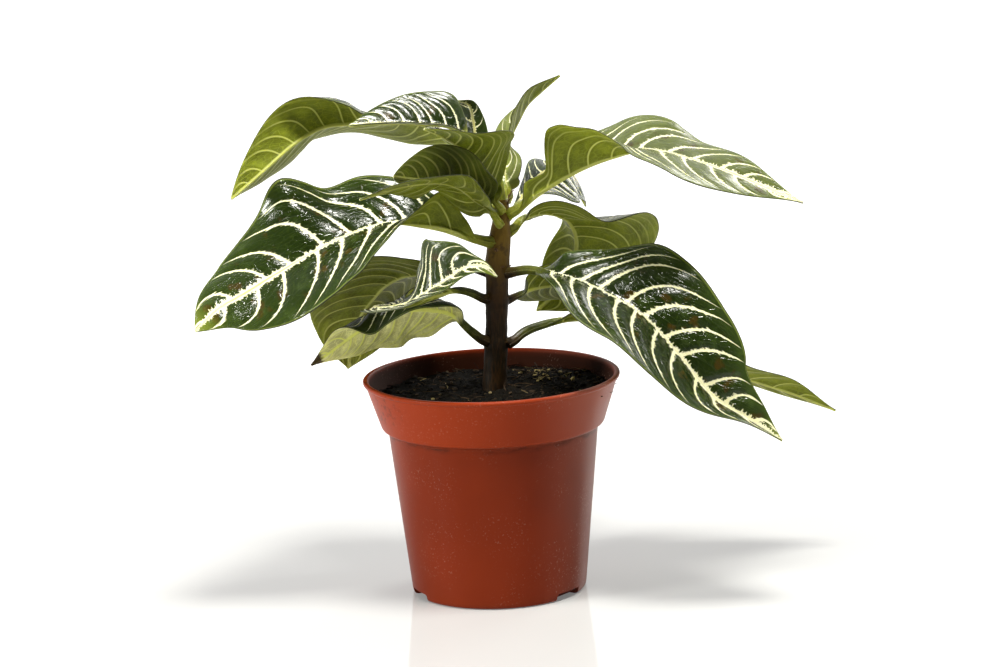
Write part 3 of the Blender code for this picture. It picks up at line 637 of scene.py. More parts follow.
def crumb_material(settings):
    """Chips, crumbs and root fibres: each piece has its own shade from near black to pale straw."""
    s = Shader("soil_crumbs")
    shade = s.node("Attribute", output="Fac", attribute_name="shade")
    grain = s.noise(s.place(), 900.0, 3.0, 0.6)
    colour = s.mix(s.step(shade, 0.0, 0.7), settings.deep, BARK_CHIP)
    colour = s.mix(s.step(shade, 0.75, 1.0), colour, STRAW)
    colour = s.mix(0.4 * grain, colour, settings.deep)
    normal = s.bump(grain, 0.0004, 0.6)
    return s.finish(Base_Color=colour, Roughness=0.85, Normal=normal, Specular_IOR_Level=0.1)


def bark_material(settings):
    """The stem: dark ridged bark below, warm and then greenish towards the crown, finely ringed."""
    s = Shader("stem_bark")
    place = s.place()
    height = s.split(place)[2]
    ridges = s.noise(s.stretched(place, 1.0, 1.0, 0.16), 900.0, 3.0, 0.6)
    blotches = s.noise(place, 160.0, 3.0, 0.6)
    rings = s.noise(s.stretched(place, 0.15, 0.15, 1.0), 700.0)
    colour = s.mix(s.step(ridges, 0.38, 0.70), settings.bark, settings.warm)
    colour = s.mix(s.step(height, 0.125, 0.170), colour, settings.warm)
    colour = s.mix(s.step(height, 0.150, 0.188) * s.step(ridges, 0.2, 0.6, 0.6, 1.0), colour, settings.green)
    colour = s.mix(0.55 * s.step(blotches, 0.52, 0.66), colour, BARK_BLOTCH)
    normal = s.bump(ridges + 0.5 * rings + 0.5 * blotches, settings.bump, 0.9)
    return s.finish(Base_Color=colour, Roughness=0.55, Normal=normal, Specular_IOR_Level=0.12)


def scale_material():
    """Dry brown scales with paler streaks."""
    s = Shader("dried_scales")
    grain = s.noise(s.stretched(s.place(), 1.0, 1.0, 0.25), 1400.0, 3.0, 0.6)
    colour = s.mix(s.step(grain, 0.35, 0.7), *SCALE_SHADES)
    normal = s.bump(grain, 0.0001, 0.6)
    return s.finish(Base_Color=colour, Roughness=0.7, Normal=normal, Specular_IOR_Level=0.2)


class LeafShader(Shader):
    """One side of a leaf: it reads where each point lies between the leaf's veins, in millimetres."""

    def __init__(self, name, settings, leaf):
        super().__init__(name)
        self.settings = settings
        self.leaf = leaf
        self.vein, self.gap, self.edge, self.blade, self.rib, self.run, self.stalk = (
            self.node("Attribute", output="Fac", attribute_name=measure) for measure in MEASURES
        )
        self.on_leaf = self.vector(self.rib, self.run, 0.0)
        self.cell = self.math("ROUND", self.vein)
        self.off = (self.vein - self.cell) * self.gap
        self.from_rib = abs(self.rib)
        cells = {"Vector": self.vector(self.vein * 3.2, self.rib * 0.42, 0.0), "Scale": 1.0}
        cells = self.node("TexVoronoi", cells, output="Distance", feature="DISTANCE_TO_EDGE")
        self.net = self.step(cells, 0.07, 0.0)

    def bands(self, half_width):
        """How far each point lies inside the pale, feathered bands on the side veins and the midrib."""
        spikes = self.noise(self.vector(self.rib * 1.3, self.off * 0.28, self.cell * 5.3), 1.0, 2.0, 0.6)
        spikes = 0.85 + self.step(spikes, 0.45, 0.85, 0.0, 2.2)
        taper = self.step(self.edge, 0.99, 0.70) * self.step(self.blade, 0.0, 0.10)
        taper = taper * self.step(self.vein, 0.3, 0.7)
        width = half_width * self.step(self.edge, 0.9, 0.05, 0.45, 1.0) * taper * spikes
        side = self.step(width - abs(self.off), -0.12, 0.16) * self.step(taper, 0.02, 0.2)
        prickles = self.noise(self.vector(self.run * 1.1, self.rib * 0.30, 3.0), 1.0, 2.0, 0.65)
        prickles = 0.85 + self.step(prickles, 0.42, 0.80, 0.0, 1.8)
        width = half_width * self.step(self.blade, 0.005, 0.06) * self.step(self.blade, 1.0, 0.9, 0.25, 1.0)
        width = width * prickles * self.step(self.blade, 0.3, 0.85, 1.1, 1.8)
        return self.math("MAXIMUM", side, self.step(width - self.from_rib, -0.12, 0.15))

    def with_stalk_and_tip(self, colour):
        """Adds the stalk, yellow-green near the crown and dark low down, and an old leaf's dried tip."""
        place = self.place()
        mottle = self.step(self.noise(place, 260.0, 3.0, 0.6), 0.35, 0.7)
        old = self.mix(mottle, self.settings.bark, times(self.settings.bark, 0.45))
        low = self.mix(self.step(self.run, 1.0, 12.0), old, self.mix(mottle, *GREEN_STALK))
        height = self.split(place)[2]
        stalk = self.mix(self.step(height, 0.163, 0.192), low, self.mix(mottle, *CROWN_STALK))
        colour = self.mix(self.stalk, colour, stalk)
        if "withered" not in self.leaf:
            return colour
        ragged = self.blade + 0.05 * self.noise(self.vector(self.rib, self.run, 7.0), 0.5)
        return self.mix(self.leaf["withered"] * self.step(ragged, 0.93, 0.97), colour, DEAD_TIP)


def upper_material(settings, leaf):
    """A leaf's upper side: glossy dark green with feathered cream bands along its veins."""
    s = LeafShader(leaf["name"] + "_upper", settings, leaf)
    bands = s.bands(settings.band / MM * min(1.0, max(leaf["wide"]) / 34.0) ** 1.2)
    clouds = s.noise(s.on_leaf, 0.09, 3.0, 0.6)
    fresh = 0.40 * s.step(s.edge, 0.6, 1.0) + 0.6 * s.step(clouds, 0.5, 0.75)
    fresh = fresh + 0.60 * s.step(s.blade, 0.50, 1.0) + (0.03 + 0.15 * (1.0 - leaf["age"]))
    fresh = s.math("MINIMUM", fresh, 1.0)
    colour = s.mix(fresh, settings.dark, settings.fresh)
    # Partly painted light: the pale colour stands in for real bleaching and for backlight shining through the
    # blade.
    colour = s.mix(leaf.get("pale", 0.0) * s.step(clouds, 0.2, 0.6, 0.75, 1.0), colour, settings.pale)
    brown = 0.8 * s.step(s.noise(s.on_leaf, 0.10), 0.58, 0.68) * s.step(s.edge, 0.9, 0.5)
    colour = s.mix(brown, colour, BROWN_SPOT)
    colour = s.mix(0.30 * s.net, colour, settings.fresh)
    colour = s.mix(bands, colour, settings.vein)
    ridge = 0.75 * s.step(s.from_rib, 0.75, 0.35) * s.step(s.blade, 1.0, 0.7, 0.2, 1.0)
    colour = s.mix(ridge, colour, settings.ridge)
    tip = 0.85 * s.step(s.blade, 0.90, 1.0) * (1.0 - leaf.get("withered", 0.0))
    colour = s.mix(tip * (1.0 - bands), colour, GREEN_TIP)
    colour = s.mix(0.6 * s.step(s.edge, 0.955, 0.975), colour, GREEN_RIM)
    colour = s.mix(0.9 * s.step(s.edge, 0.982, 0.99), colour, DARK_MARGIN)
    colour = s.with_stalk_and_tip(colour)
    rough = 0.08 + 0.10 * clouds + 0.25 * bands + 0.2 * s.stalk + 0.55 * s.step(s.edge, 0.97, 0.985)
    crinkle = s.bump(s.noise(s.on_leaf, 0.30), 0.00022, 0.8)
    normal = s.bump(0.7 * s.noise(s.on_leaf, 2.2, 3.0, 0.6) - s.net, 0.00009, 0.8, crinkle)
    return s.finish(Base_Color=colour, Roughness=rough, Normal=normal, Specular_IOR_Level=0.34,
                    Subsurface_Weight=0.3, Subsurface_Radius=(1.0, 1.0, 0.2), Subsurface_Scale=0.0009)


def under_material(settings, leaf):
    """A leaf's underside: dull yellow-green, lighter along the raised veins."""
    s = LeafShader(leaf["name"] + "_under", settings, leaf)
    # A leaf's own underside colour: the darker ones are painted shade for undersides that other leaves shade,
    # and the veins follow it.
    plain = leaf.get("under", settings.under)
    vein = times(settings.under_vein, min(1.5, plain[1] / settings.under[1]))
    clouds = s.noise(s.on_leaf, 0.10, 3.0, 0.6)
    colour = s.mix(s.step(clouds, 0.3, 0.72), times(plain, 0.70), times(plain, 1.22))
    mottle = s.noise(s.on_leaf, 0.75, 4.0, 0.7)
    colour = s.mix(0.45 * s.step(mottle, 0.48, 0.66), colour, times(plain, 0.62))
    colour = s.mix(0.6 * s.net, colour, times(plain, 1.5))
    fade = s.step(s.edge, 0.97, 0.5, 0.2, 0.85) * s.step(s.vein, 0.3, 0.7)
    from_vein = abs(s.off)
    # Painted shade: darker in the creases beside each raised vein.
    colour = s.mix(0.45 * s.step(from_vein, 2.6, 0.6) * fade, colour, times(plain, 0.55))
    colour = s.mix(s.step(from_vein, 0.6, 0.2) * fade, colour, vein)
    colour = s.mix(0.85 * s.step(s.from_rib, 1.3, 0.6), colour, vein)
    specks = s.step(s.noise(s.on_leaf, 0.55, 2.0, 0.6), 0.68, 0.76)
    colour = s.mix(0.55 * leaf["age"] * specks, colour, BROWN_SPECK)
    colour = s.mix(0.75 * s.step(s.edge, 0.985, 0.995), colour, BROWN_MARGIN)
    colour = s.with_stalk_and_tip(colour)
    normal = s.bump(0.6 * s.noise(s.on_leaf, 1.8, 3.0, 0.6) + 0.8 * s.net, 0.00010, 0.8)
    return s.finish(Base_Color=colour, Roughness=0.48, Normal=normal, Specular_IOR_Level=0.12,
                    Subsurface_Weight=0.7, Subsurface_Radius=(1.0, 1.0, 0.25), Subsurface_Scale=0.0014)


# Leaves


def unit(vector):
    return vector / np.linalg.norm(vector)


def each_column(at, keys, rows):
    return np.stack([np.interp(at, keys, column) for column in rows.T], axis=1)


def lengths(points):
    """The length of the line through the points, up to each of them."""
    return np.concatenate([[0.0], np.cumsum(np.linalg.norm(np.diff(points, axis=0), axis=1))])


def midrib_frames(leaf, along):
    """Place, side and up directions at each fraction of the midrib's length, and that length."""
    points = np.array(leaf["midrib"], float)
    keys = lengths(points)
    fine = flowing(keys, points, np.linspace(0, keys[-1], FRAMES))
    run = lengths(fine)
    even = np.linspace(0, run[-1], FRAMES)
    fine = each_column(even, run, fine)
    ahead = np.gradient(fine, axis=0)
    ahead /= np.linalg.norm(ahead, axis=1)[:, None]
    side = np.empty_like(fine)
    side[0] = unit(np.cross(ahead[0], (0, 0, 1)))
    for i in range(1, FRAMES):
        side[i] = unit(side[i - 1] - ahead[i] * (side[i - 1] @ ahead[i]))
    frames = [each_column(along * run[-1], even, field) for field in (fine, side, np.cross(side, ahead))]
    return frames, run[-1]


def by_half(rows, blade, right):
    """Pairs of values given along the blade: each point takes that of its own half."""
    values = flowing([row[0] for row in rows], [row[1:] for row in rows], blade)
    return np.where(right, values[:, 1], values[:, 0])


def leaf_surface(leaf, across, along):
    """Points and thickness of the leaf's middle surface, and its measures there.

    Across runs from -1 at the left margin to 1 at the right one, along from 0 at the stem to 1 at the tip.
    """
    (place, side, up), length = midrib_frames(leaf, along)
    start = leaf["stalk"] / length
    blade = np.clip((along - start) / (1 - start), 0, 1)
    grown = np.clip((along - start / 2) / (1 - start / 2), 0, 1)
    rib = leaf["thick"] / 2 * (1 - 0.85 * grown**0.6 + 0.28 * np.exp(-((along * length / 2.2) ** 2)))
    right = across > 0
    fade = np.clip(blade / 0.06, 0, 1)
    poise = [(*row, 0, 0)[:5] for row in leaf["poise"]]
    rise = np.radians(by_half([row[:3] for row in poise], blade, right)) * fade
    roll = np.radians(by_half([(row[0], *row[3:]) for row in poise], blade, right)) * fade
    roll = np.where(np.abs(roll) < 0.001, 0.001, roll)

    inside = np.clip(blade, 1e-9, 1 - 1e-9)
    widest = leaf["widest"]
    blunt = leaf["sharp"] * widest / (1 - widest)
    outline = (inside / widest) ** blunt * ((1 - inside) / (1 - widest)) ** leaf["sharp"]
    widths = np.where(right, leaf["wide"][1], leaf["wide"][0])
    wide = widths * outline * by_half(leaf.get("trim", EVEN), blade, right)
    full = rib + WING * (1 - 0.6 * blade) + wide

    reach = np.abs(across)
    core = 0.8 * rib
    distance = np.where(reach <= RIB_SHARE, core * reach / RIB_SHARE,
                        core + (full - core) * (reach - RIB_SHARE) / (1 - RIB_SHARE))
    part = distance / full
    turn = rise + roll * part
    out = full / roll * (np.sin(turn) - np.sin(rise))
    lift = full / roll * (np.cos(rise) - np.cos(turn))

    height, count, left_start, right_start = leaf["wave"]
    phase = np.where(right, right_start, left_start)
    ripple = height * wide / max(leaf["wide"]) * part**2 * np.sin(2 * np.pi * (count * blade + phase))
    out = (out - np.sin(turn) * ripple) * np.sign(across)
    lift = lift + np.cos(turn) * ripple
    points = place + side * out[:, None] + up * lift[:, None]
    thickness = BLADE + 2 * np.sqrt(np.maximum(rib**2 - distance**2, 0)) * (1 - 0.3 * fade)
    thickness = thickness - 0.5 * BLADE * fade * np.clip((part - 0.85) / 0.15, 0, 1)

    # Each side vein starts square to the midrib and bends forward until it runs along the margin.
    forward = widths * (0.35 + 0.65 * outline) * (0.32 * part + 0.80 * part**3)
    origin = blade - forward / (length * (1 - start))
    seed = sum(ord(letter) for letter in leaf["name"]) % 17
    lean = np.where(right, 0.31, 0.0)
    vein = leaf["veins"] * origin * (1.22 - 0.22 * origin) + lean
    vein = vein + 0.07 * np.sin(3.1 * vein + seed) + 0.06 * np.sin(1.7 * vein + 2.0 * seed + 3.0 * lean)
    measures = dict(vein=vein, edge=part, blade=blade, rib=distance * np.sign(across), run=along * length,
                    stalk=1 - np.clip(blade / 0.05, 0, 1), wide=wide)
    return points, thickness, measures


def leaf_relief(points, measures, shape, quilt):
    """Moves the grid out between the side veins and returns how far these are apart in millimetres."""
    names = ("vein", "rib", "edge", "blade", "wide")
    vein, rib, edge, blade, wide = (measures[name].reshape(shape) for name in names)
    field = points.reshape(*shape, 3)
    ahead, side = np.gradient(field, axis=(0, 1))
    vein_ahead, vein_side = np.gradient(vein, axis=(0, 1))
    aa = (ahead * ahead).sum(2)
    ss = (side * side).sum(2)
    cross = (ahead * side).sum(2)
    area = np.maximum(aa * ss - cross * cross, 1e-9)
    slope = (vein_ahead**2 * ss - 2 * vein_ahead * vein_side * cross + vein_side**2 * aa) / area
    gap = 1.0 / np.sqrt(np.clip(slope, 1.0 / 900.0, 4.0))
    normal = np.cross(side, ahead)
    normal /= np.maximum(np.linalg.norm(normal, axis=2), 1e-9)[:, :, None]
    off = np.abs(vein - np.round(vein)) * gap
    swell = (1 - np.exp(-((off / 2.2) ** 2))) * (1 - np.exp(-((rib / 3.0) ** 2))) * (1 - edge**5)
    swell *= np.clip(blade / 0.12, 0, 1) * np.clip((1 - blade) / 0.10, 0, 1) * np.clip(wide / 14.0, 0, 1)
    return (field + normal * (quilt * swell)[:, :, None]).reshape(-1, 3), gap.ravel()


def stem_at(height):
    """Middle and radius of the stem at this height."""
    heights, middles, radii = zip(*STEM)
    return float(np.interp(height, heights, middles)), float(np.interp(height, heights, radii))


def leaf_mesh(leaf, quilt, columns, rows):
    """The leaf's sheet as a grid laid along its midrib, with the measures that its materials read."""
    bm = bmesh.new()
    bmesh.ops.create_grid(bm, x_segments=columns, y_segments=rows, size=1.0)
    spots = (np.array([vert.co[:2] for vert in bm.verts]) + 1) / 2
    column, row = np.rint(spots * (columns, rows)).astype(int).T
    order = row * (columns + 1) + column
    across = np.linspace(-1, 1, columns + 1)
    reach = np.abs(across)
    near = reach / RIB_COLUMNS * RIB_SHARE
    far = RIB_SHARE + (reach - RIB_COLUMNS) / (1 - RIB_COLUMNS) * (1 - RIB_SHARE)
    across = np.sign(across) * np.where(reach <= RIB_COLUMNS, near, far)
    across, along = np.meshgrid(across, np.linspace(0, 1, rows + 1))
    points, thickness, measures = leaf_surface(leaf, across.ravel(), along.ravel())

    # The stalk's foot reaches into the stem.
    start = np.array(leaf["midrib"][0], float)
    inward = unit(np.array([stem_at(start[2])[0], 0.0, start[2] - 1.5]) - start)
    points += inward * (2.8 * np.exp(-((measures["run"] / 1.6) ** 2)))[:, None]
    points, measures["gap"] = leaf_relief(points, measures, (rows + 1, columns + 1), quilt)
    for vert, at in zip(bm.verts, order):
        vert.co = Vector(points[at]) * MM
    mesh = new_mesh(leaf["name"] + "_fine", bm)
    for name in MEASURES:
        layer = mesh.attributes.new(name, "FLOAT", "POINT")
        layer.data.foreach_set("value", measures[name][order].astype(np.float32))
    mesh.shade_smooth()
    return mesh, thickness[order]


def thickened(obj, thickness):
    """Gives the sheet its two sides with a weighted Solidify, the second side in the second material."""
    most = float(thickness.max())
    group = obj.vertex_groups.new(name="thickness")
    for index, value in enumerate(thickness):
        group.add([index], float(value) / most, "REPLACE")
    shell = obj.modifiers.new("shell", "SOLIDIFY")
    shell.thickness = most * MM
    shell.offset = 0.0
    shell.vertex_group = "thickness"
    shell.use_quality_normals = True
    shell.use_rim = True
    shell.material_offset = 1


class PLANT_OT_leaves(Operator):
    """Build the leaves"""

    bl_idname = "zebra_plant.leaves"
    bl_label = "Leaves"

    def execute(self, context):
        settings = context.scene.zebra_leaves
        for leaf in LEAVES:
            columns, rows = ((52, 130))
            quilt = settings.quilt / MM * (0.55 + 0.45 * leaf["age"])
            mesh, thickness = leaf_mesh(leaf, quilt, columns, rows)
            materials = [upper_material(settings, leaf), under_material(settings, leaf)]
            thickened(piece(leaf["name"] + "_fine", mesh, materials, [leaf["name"]]), thickness)
        return {"FINISHED"}


class PLANT_OT_pot(Operator):
    """Build the nursery pot"""

    bl_idname = "zebra_plant.pot"
    bl_label = "Pot"

    def execute(self, context):
        settings = context.scene.zebra_pot
        profile = rounded(POT_OUTSIDE + POT_INSIDE, settings.rounding / MM)
        pot = linked("pot_moulded", new_mesh("pot_moulded", turned(profile, settings.sides)))
        cutters = [self.cutter(settings, bearing) for bearing in SLOT_BEARINGS]
        for cutter in cutters:
            cut = pot.modifiers.new("slot", "BOOLEAN")
            cut.operation = "DIFFERENCE"
            cut.solver = "EXACT"
            cut.object = cutter
        context.view_layer.update()
        mesh = bpy.data.meshes.new_from_object(pot.evaluated_get(context.evaluated_depsgraph_get()))
        for spent in cutters + [pot]:
            bpy.data.objects.remove(spent, do_unlink=True)
        mesh.name = "pot_moulded"
        mesh.materials.clear()
        smooth(mesh, 42.0)
        piece("pot_moulded", mesh, [plastic_material(settings)], ["pot"])
        return {"FINISHED"}

    def cutter(self, settings, bearing):
        """A box over the corner of wall and floor, with rounded top corners."""
        bm = bmesh.new()
        bmesh.ops.create_cube(bm, size=1.0)
        below, outside = 3.0 * MM, 60.0 * MM
        depth = outside - settings.slot_depth
        bmesh.ops.scale(bm, vec=(depth, settings.slot_width, settings.slot_height + below), verts=bm.verts)
        middle = Vector((settings.slot_depth + depth / 2, 0.0, (settings.slot_height - below) / 2))
        bmesh.ops.translate(bm, vec=middle, verts=bm.verts)
        edges = [edge for edge in bm.edges
                 if all(vert.co.z > settings.slot_height - 0.5 * MM for vert in edge.verts)
                 and abs(edge.verts[0].co.x - edge.verts[1].co.x) > MM]
        bmesh.ops.bevel(bm, geom=edges, offset=1.5 * MM, offset_type="OFFSET", segments=4, profile=0.5,
                        affect="EDGES", material=-1)
        turn = Matrix.Rotation(math.radians(bearing), 3, "Z")
        bmesh.ops.rotate(bm, cent=(0, 0, 0), matrix=turn, verts=bm.verts)
        return linked("slot_cutter", new_mesh("slot_cutter", bm))


def rim_radius(height):
    """Radius of the soil's edge at this height inside the rim band, a little short of the wall."""
    (top_radius, top), (low_radius, low) = POT_INSIDE[1], POT_INSIDE[2]
    return low_radius + (height - low) * (top_radius - low_radius) / (top - low) - 0.3


def soil_height(x, y):
    """Height of the soil's surface in millimetres, lower at the left and back, with a heap at the right."""
    rough = noise.noise(Vector((x / 9.0, y / 9.0, 3.0))) + 0.5 * noise.noise(Vector((x / 4.0, y / 4.0, 8.0)))
    heap = 2.2 * math.exp(-((x - HEAP[0]) ** 2 + (y - HEAP[1]) ** 2) / 260.0)
    return SOIL_TOP + 1.5 * rough + heap + 0.02 * x - 0.01 * y - 0.0006 * (x * x + y * y)


class PLANT_OT_soil(Operator):
    """Build the soil and the crumbs and fibres on it"""

    bl_idname = "zebra_plant.soil"
    bl_label = "Soil"

    def execute(self, context):
        settings = context.scene.zebra_soil
        self.ground(settings)
        self.crumbs(settings)
        return {"FINISHED"}

    def ground(self, settings):
        """One body from the pot's floor to the crumbly surface, with a hole round the stem."""
        sides, rings = ((200, 56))
        profile = [(0.0, HOLE_FLOOR), (HOLE_RADIUS, HOLE_FLOOR), (HOLE_RADIUS, SOIL_TOP)]
        edge = rim_radius(SOIL_TOP)
        width = edge - HOLE_RADIUS
        profile += [(HOLE_RADIUS + width * ring / rings, SOIL_TOP) for ring in range(1, rings + 1)]
        profile += SOIL_SIDE + [(0.0, SOIL_SIDE[-1][1])]
        bm = turned(profile, sides)
        for vert in bm.verts:
            x, y, z = (value / MM for value in vert.co)
            out = math.hypot(x, y)
            if z > SOIL_TOP - 1.0:
                z = soil_height(x, y)
                if out > HOLE_RADIUS + 0.4:
                    rim = min(1.0, (edge - out) / 3.0)
                    z += 0.9 * rim * lumps(x, y, 0.0, 2.3, 5.0) + 0.6 * rim * lumps(x, y, 0.0, 1.1, 9.0)
                if out > edge - 0.5:
                    reach = rim_radius(z)
                    x, y = x * reach / out, y * reach / out
            if z > HOLE_FLOOR - 1.0 and out < 57.0:
                x += STEM[0][1] * max(0.0, 1.0 - max(0.0, out - HOLE_RADIUS) / 30.0)
            vert.co = Vector((x, y, z)) * MM
        bmesh.ops.recalc_face_normals(bm, faces=bm.faces)
        mesh = new_mesh("soil_surface", bm)
        smooth(mesh, 60.0)
        piece("soil_surface", mesh, [soil_material(settings)], ["soil"])

    def crumbs(self, settings):
        """Scatters chips, crumbs and bent fibres on the soil, with more and paler ones on its heap."""
        rng = random.Random(CRUMB_SEED)
        bm = bmesh.new()
        shade = bm.verts.layers.float.new("shade")
        count = settings.crumbs
        for number in range(count):
            bearing = rng.uniform(0, 2 * math.pi)
            out = CRUMBS_FROM + (CRUMBS_TO - CRUMBS_FROM) * math.sqrt(rng.random())
            x, y = out * math.cos(bearing), out * math.sin(bearing)
            if number < 0.12 * count:
                x, y = HEAP[0] + rng.gauss(0, 7.0), HEAP[1] - 2.0 + rng.gauss(0, 8.0)
            if math.hypot(x, y) > CRUMBS_TO:
                continue
            tone = rng.random() ** 1.6 * 0.85
            if number < 0.05 * count or rng.random() < 0.02:
                tone = rng.uniform(0.85, 1.0)
            place = Vector((x, y, soil_height(x, y) + rng.uniform(0.2, 1.0)))
            if rng.random() < 0.6:
                self.fibre(bm, rng, place, shade, tone)
            else:
                self.crumb(bm, rng, place, shade, tone)
        mesh = new_mesh("soil_crumbs", bm)
        smooth(mesh, 50.0)
        piece("soil_crumbs", mesh, [crumb_material(settings)])

    def crumb(self, bm, rng, place, shade, tone):
        made = bmesh.ops.create_icosphere(bm, subdivisions=1, radius=1.0)["verts"]
        size = rng.uniform(0.4, 1.5)
        long, wide, high = rng.uniform(0.7, 2.2), rng.uniform(0.6, 1.1), rng.uniform(0.35, 0.8)
        shape = Vector((size * long, size * wide, size * high))
        turn = Matrix.Rotation(rng.uniform(0, math.pi), 3, "Z")
        turn = turn @ Matrix.Rotation(rng.uniform(-0.6, 0.6), 3, "X")
        for vert in made:
            vert[shade] = tone
            spot = vert.co * shape * rng.uniform(0.75, 1.2)
            vert.co = (place + turn @ spot) * MM

    def fibre(self, bm, rng, place, shade, tone):
        """A thin bent strand: a four-sided ring extruded along a random walk."""
        heading = rng.uniform(0, 2 * math.pi)
        thick = rng.uniform(0.10, 0.32)
        pitch = rng.uniform(-0.1, 0.35)
        ring = bmesh.ops.create_circle(bm, segments=4, radius=thick * MM, cap_ends=True)["verts"]
        ahead = Vector((math.cos(heading), math.sin(heading), pitch)).normalized()
        turn = ahead.to_track_quat("Z", "Y").to_matrix()
        for vert in ring:
            vert[shade] = tone
            vert.co = turn @ vert.co + place * MM
        face = ring[0].link_faces[0]
        for _ in range(rng.randint(3, 7)):
            face = bmesh.ops.extrude_discrete_faces(bm, faces=[face])["faces"][0]
            heading += rng.uniform(-0.6, 0.6)
            pitch += rng.uniform(-0.28, 0.18)
            ahead = Vector((math.cos(heading), math.sin(heading), pitch)).normalized()
            ahead = ahead * rng.uniform(0.8, 2.0) * MM
            for vert in face.verts:
                vert[shade] = tone
                vert.co += ahead


class PLANT_OT_stem(Operator):
    """Build the stem with its scars and dried scales"""

    bl_idname = "zebra_plant.stem"
    bl_label = "Stem"

    def execute(self, context):
        settings = context.scene.zebra_stem
        heights = np.linspace(STEM[0][0], STEM[-1][0], 170)
        profile = [(stem_at(height)[1], height) for height in heights]
        profile = [(0.0, heights[0]), *profile, (0.0, heights[-1])]
        bm = turned(profile, 60)
        for vert in bm.verts:
            x, y, z = (value / MM for value in vert.co)
            out = math.hypot(x, y)
            if out > 1.0:
                ridge = lumps(3.0 * x / out, 3.0 * y / out, z / 14.0, 0.5, 2.0)
                moved = out + 0.12 * ridge + 0.16 * lumps(x, y, z, 4.0, 7.0)
                x, y = x * moved / out, y * moved / out
            vert.co = Vector((x + stem_at(z)[0], y, z)) * MM
        bmesh.ops.recalc_face_normals(bm, faces=bm.faces)
        mesh = new_mesh("stem_bark", bm)
        smooth(mesh, 60.0)
        piece("stem_bark", mesh, [bark_material(settings)], ["stem"])
        self.scales()
        return {"FINISHED"}

    def scales(self):
        """Thin dried scales that stand off the stem at its leaf scars, each a tapering curled strip."""
        bm = bmesh.new()
        for height, bearing, reach in SCALES:
            middle, radius = stem_at(height)
            turn = Matrix.Rotation(math.radians(bearing), 3, "Z")
            rows = []
            for step in range(7):
                u = step / 6
                wide = 1.3 * (1 - u) ** 0.6 + 0.12
                out = radius - 0.2 + 0.55 * reach * u**1.4
                curl = 0.5 * wide * (0.4 + u)
                spots = [(out - curl, -wide, 0.0), (out, 0.0, 0.25 * wide), (out - curl, wide, 0.0)]
                foot = Vector((middle, 0.0, height + reach * (u - 0.35 * u * u)))
                rows.append([bm.verts.new((turn @ Vector(spot) + foot) * MM) for spot in spots])
            for low, high in zip(rows, rows[1:]):
                for left, right in ((0, 1), (1, 2)):
                    bm.faces.new((low[left], low[right], high[right], high[left]))
        mesh = new_mesh("stem_scales", bm)
        smooth(mesh, 80.0)
        shell = piece("stem_scales", mesh, [scale_material()]).modifiers.new("shell", "SOLIDIFY")
        shell.thickness = 0.25 * MM
        shell.offset = 0.0


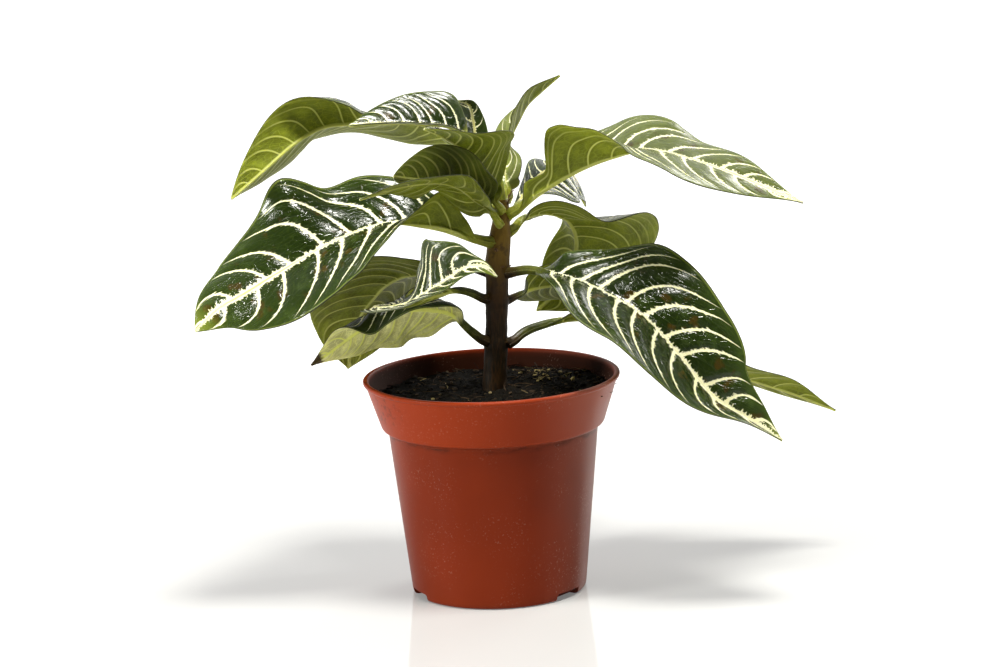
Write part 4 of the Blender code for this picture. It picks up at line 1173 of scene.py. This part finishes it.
class PLANT_OT_stage(Operator):
    """Build the floor, the lights and the camera"""

    bl_idname = "zebra_plant.stage"
    bl_label = "Stage"

    def execute(self, context):
        settings = context.scene.zebra_stage
        scene = context.scene
        scene.view_settings.view_transform = "Standard"
        self.floor(settings)
        self.world(scene)
        for light in LIGHTS:
            self.light(*light)
        self.camera(scene, settings)
        return {"FINISHED"}

    def floor(self, settings):
        """A pale, smooth floor that glows away from the plant, until it is as white as the wall."""
        bm = bmesh.new()
        bmesh.ops.create_grid(bm, x_segments=1, y_segments=1, size=8.0)
        s = Shader("pale_floor")
        away = s.node("VectorMath", {0: s.place()}, output="Value", operation="LENGTH")
        glow = s.step(away, GLOW_FROM, GLOW_TO, 0.16, 1.0)
        s.finish(Base_Color=settings.floor, Roughness=0.06, Specular_IOR_Level=0.5,
                 Emission_Color=(1.0, 1.0, 0.99), Emission_Strength=glow)
        floor = linked("floor", new_mesh("floor", bm))
        floor.data.materials.append(s.owner)

    def world(self, scene):
        """Soft light from behind the plant, with the room in front of it nearly dark."""
        s = Shader("studio", "worlds")
        back = s.split(s.node("TexCoord", output="Generated"))[1]
        glow = s.step(back, -0.5, 0.7, 0.03, 0.85)
        scene.world = s.finish("Background", Color=(1.0, 1.0, 1.0), Strength=glow)

    def light(self, name, place, size, power, colour, spread):
        lamp = bpy.data.lights.new(name, "AREA")
        lamp.shape = "SQUARE"
        lamp.size = size
        lamp.energy = power
        lamp.spread = math.radians(spread)
        lamp.color = colour
        obj = linked(name, lamp)
        obj.location = place
        obj.rotation_euler = (Vector(LIGHT_AIM) - Vector(place)).to_track_quat("-Z", "Y").to_euler()

    def camera(self, scene, settings):
        """Aims the camera as the plant was seen: from the front, a little above, leaning slightly."""
        lens = bpy.data.cameras.new("camera")
        lens.lens = settings.lens
        lens.sensor_width = 36.0
        tilt, lean = settings.lift, settings.roll
        ahead = Vector((0.0, math.cos(tilt), -math.sin(tilt)))
        right = Vector((1.0, 0.0, 0.0))
        up = right.cross(ahead)
        leant_right = right * math.cos(lean) - up * math.sin(lean)
        leant_up = right * math.sin(lean) + up * math.cos(lean)
        turn = Matrix((leant_right, leant_up, -ahead)).transposed()
        scene.camera = linked("camera", lens)
        place = Vector(VIEW_MIDDLE) * MM - ahead * settings.distance
        scene.camera.matrix_world = Matrix.Translation(place) @ turn.to_4x4()


class PLANT_PT_panel(Panel):
    """Lists the plant's pieces"""

    bl_idname = "PLANT_PT_panel"
    bl_label = "Zebra Plant"
    bl_space_type = "VIEW_3D"
    bl_region_type = "UI"
    bl_category = "Zebra Plant"

    def draw(self, context):
        for operator in OPERATORS:
            self.layout.operator(operator.bl_idname)


OPERATORS = (PLANT_OT_pot, PLANT_OT_soil, PLANT_OT_stem, PLANT_OT_leaves, PLANT_OT_stage)
SETTINGS = {
    "zebra_pot": PotSettings,
    "zebra_soil": SoilSettings,
    "zebra_stem": StemSettings,
    "zebra_leaves": LeafSettings,
    "zebra_stage": StageSettings,
}


def register():
    for name, group in SETTINGS.items():
        bpy.utils.register_class(group)
        setattr(bpy.types.Scene, name, PointerProperty(type=group))
    for kind in OPERATORS + (PLANT_PT_panel,):
        bpy.utils.register_class(kind)


def unregister():
    for kind in reversed(OPERATORS + (PLANT_PT_panel,)):
        bpy.utils.unregister_class(kind)
    for name, group in reversed(SETTINGS.items()):
        delattr(bpy.types.Scene, name)
        bpy.utils.unregister_class(group)


def main():
    register()
    bpy.ops.zebra_plant.pot()
    bpy.ops.zebra_plant.soil()
    bpy.ops.zebra_plant.stem()
    bpy.ops.zebra_plant.leaves()
    bpy.ops.zebra_plant.stage()


if __name__ == "__main__":
    main()
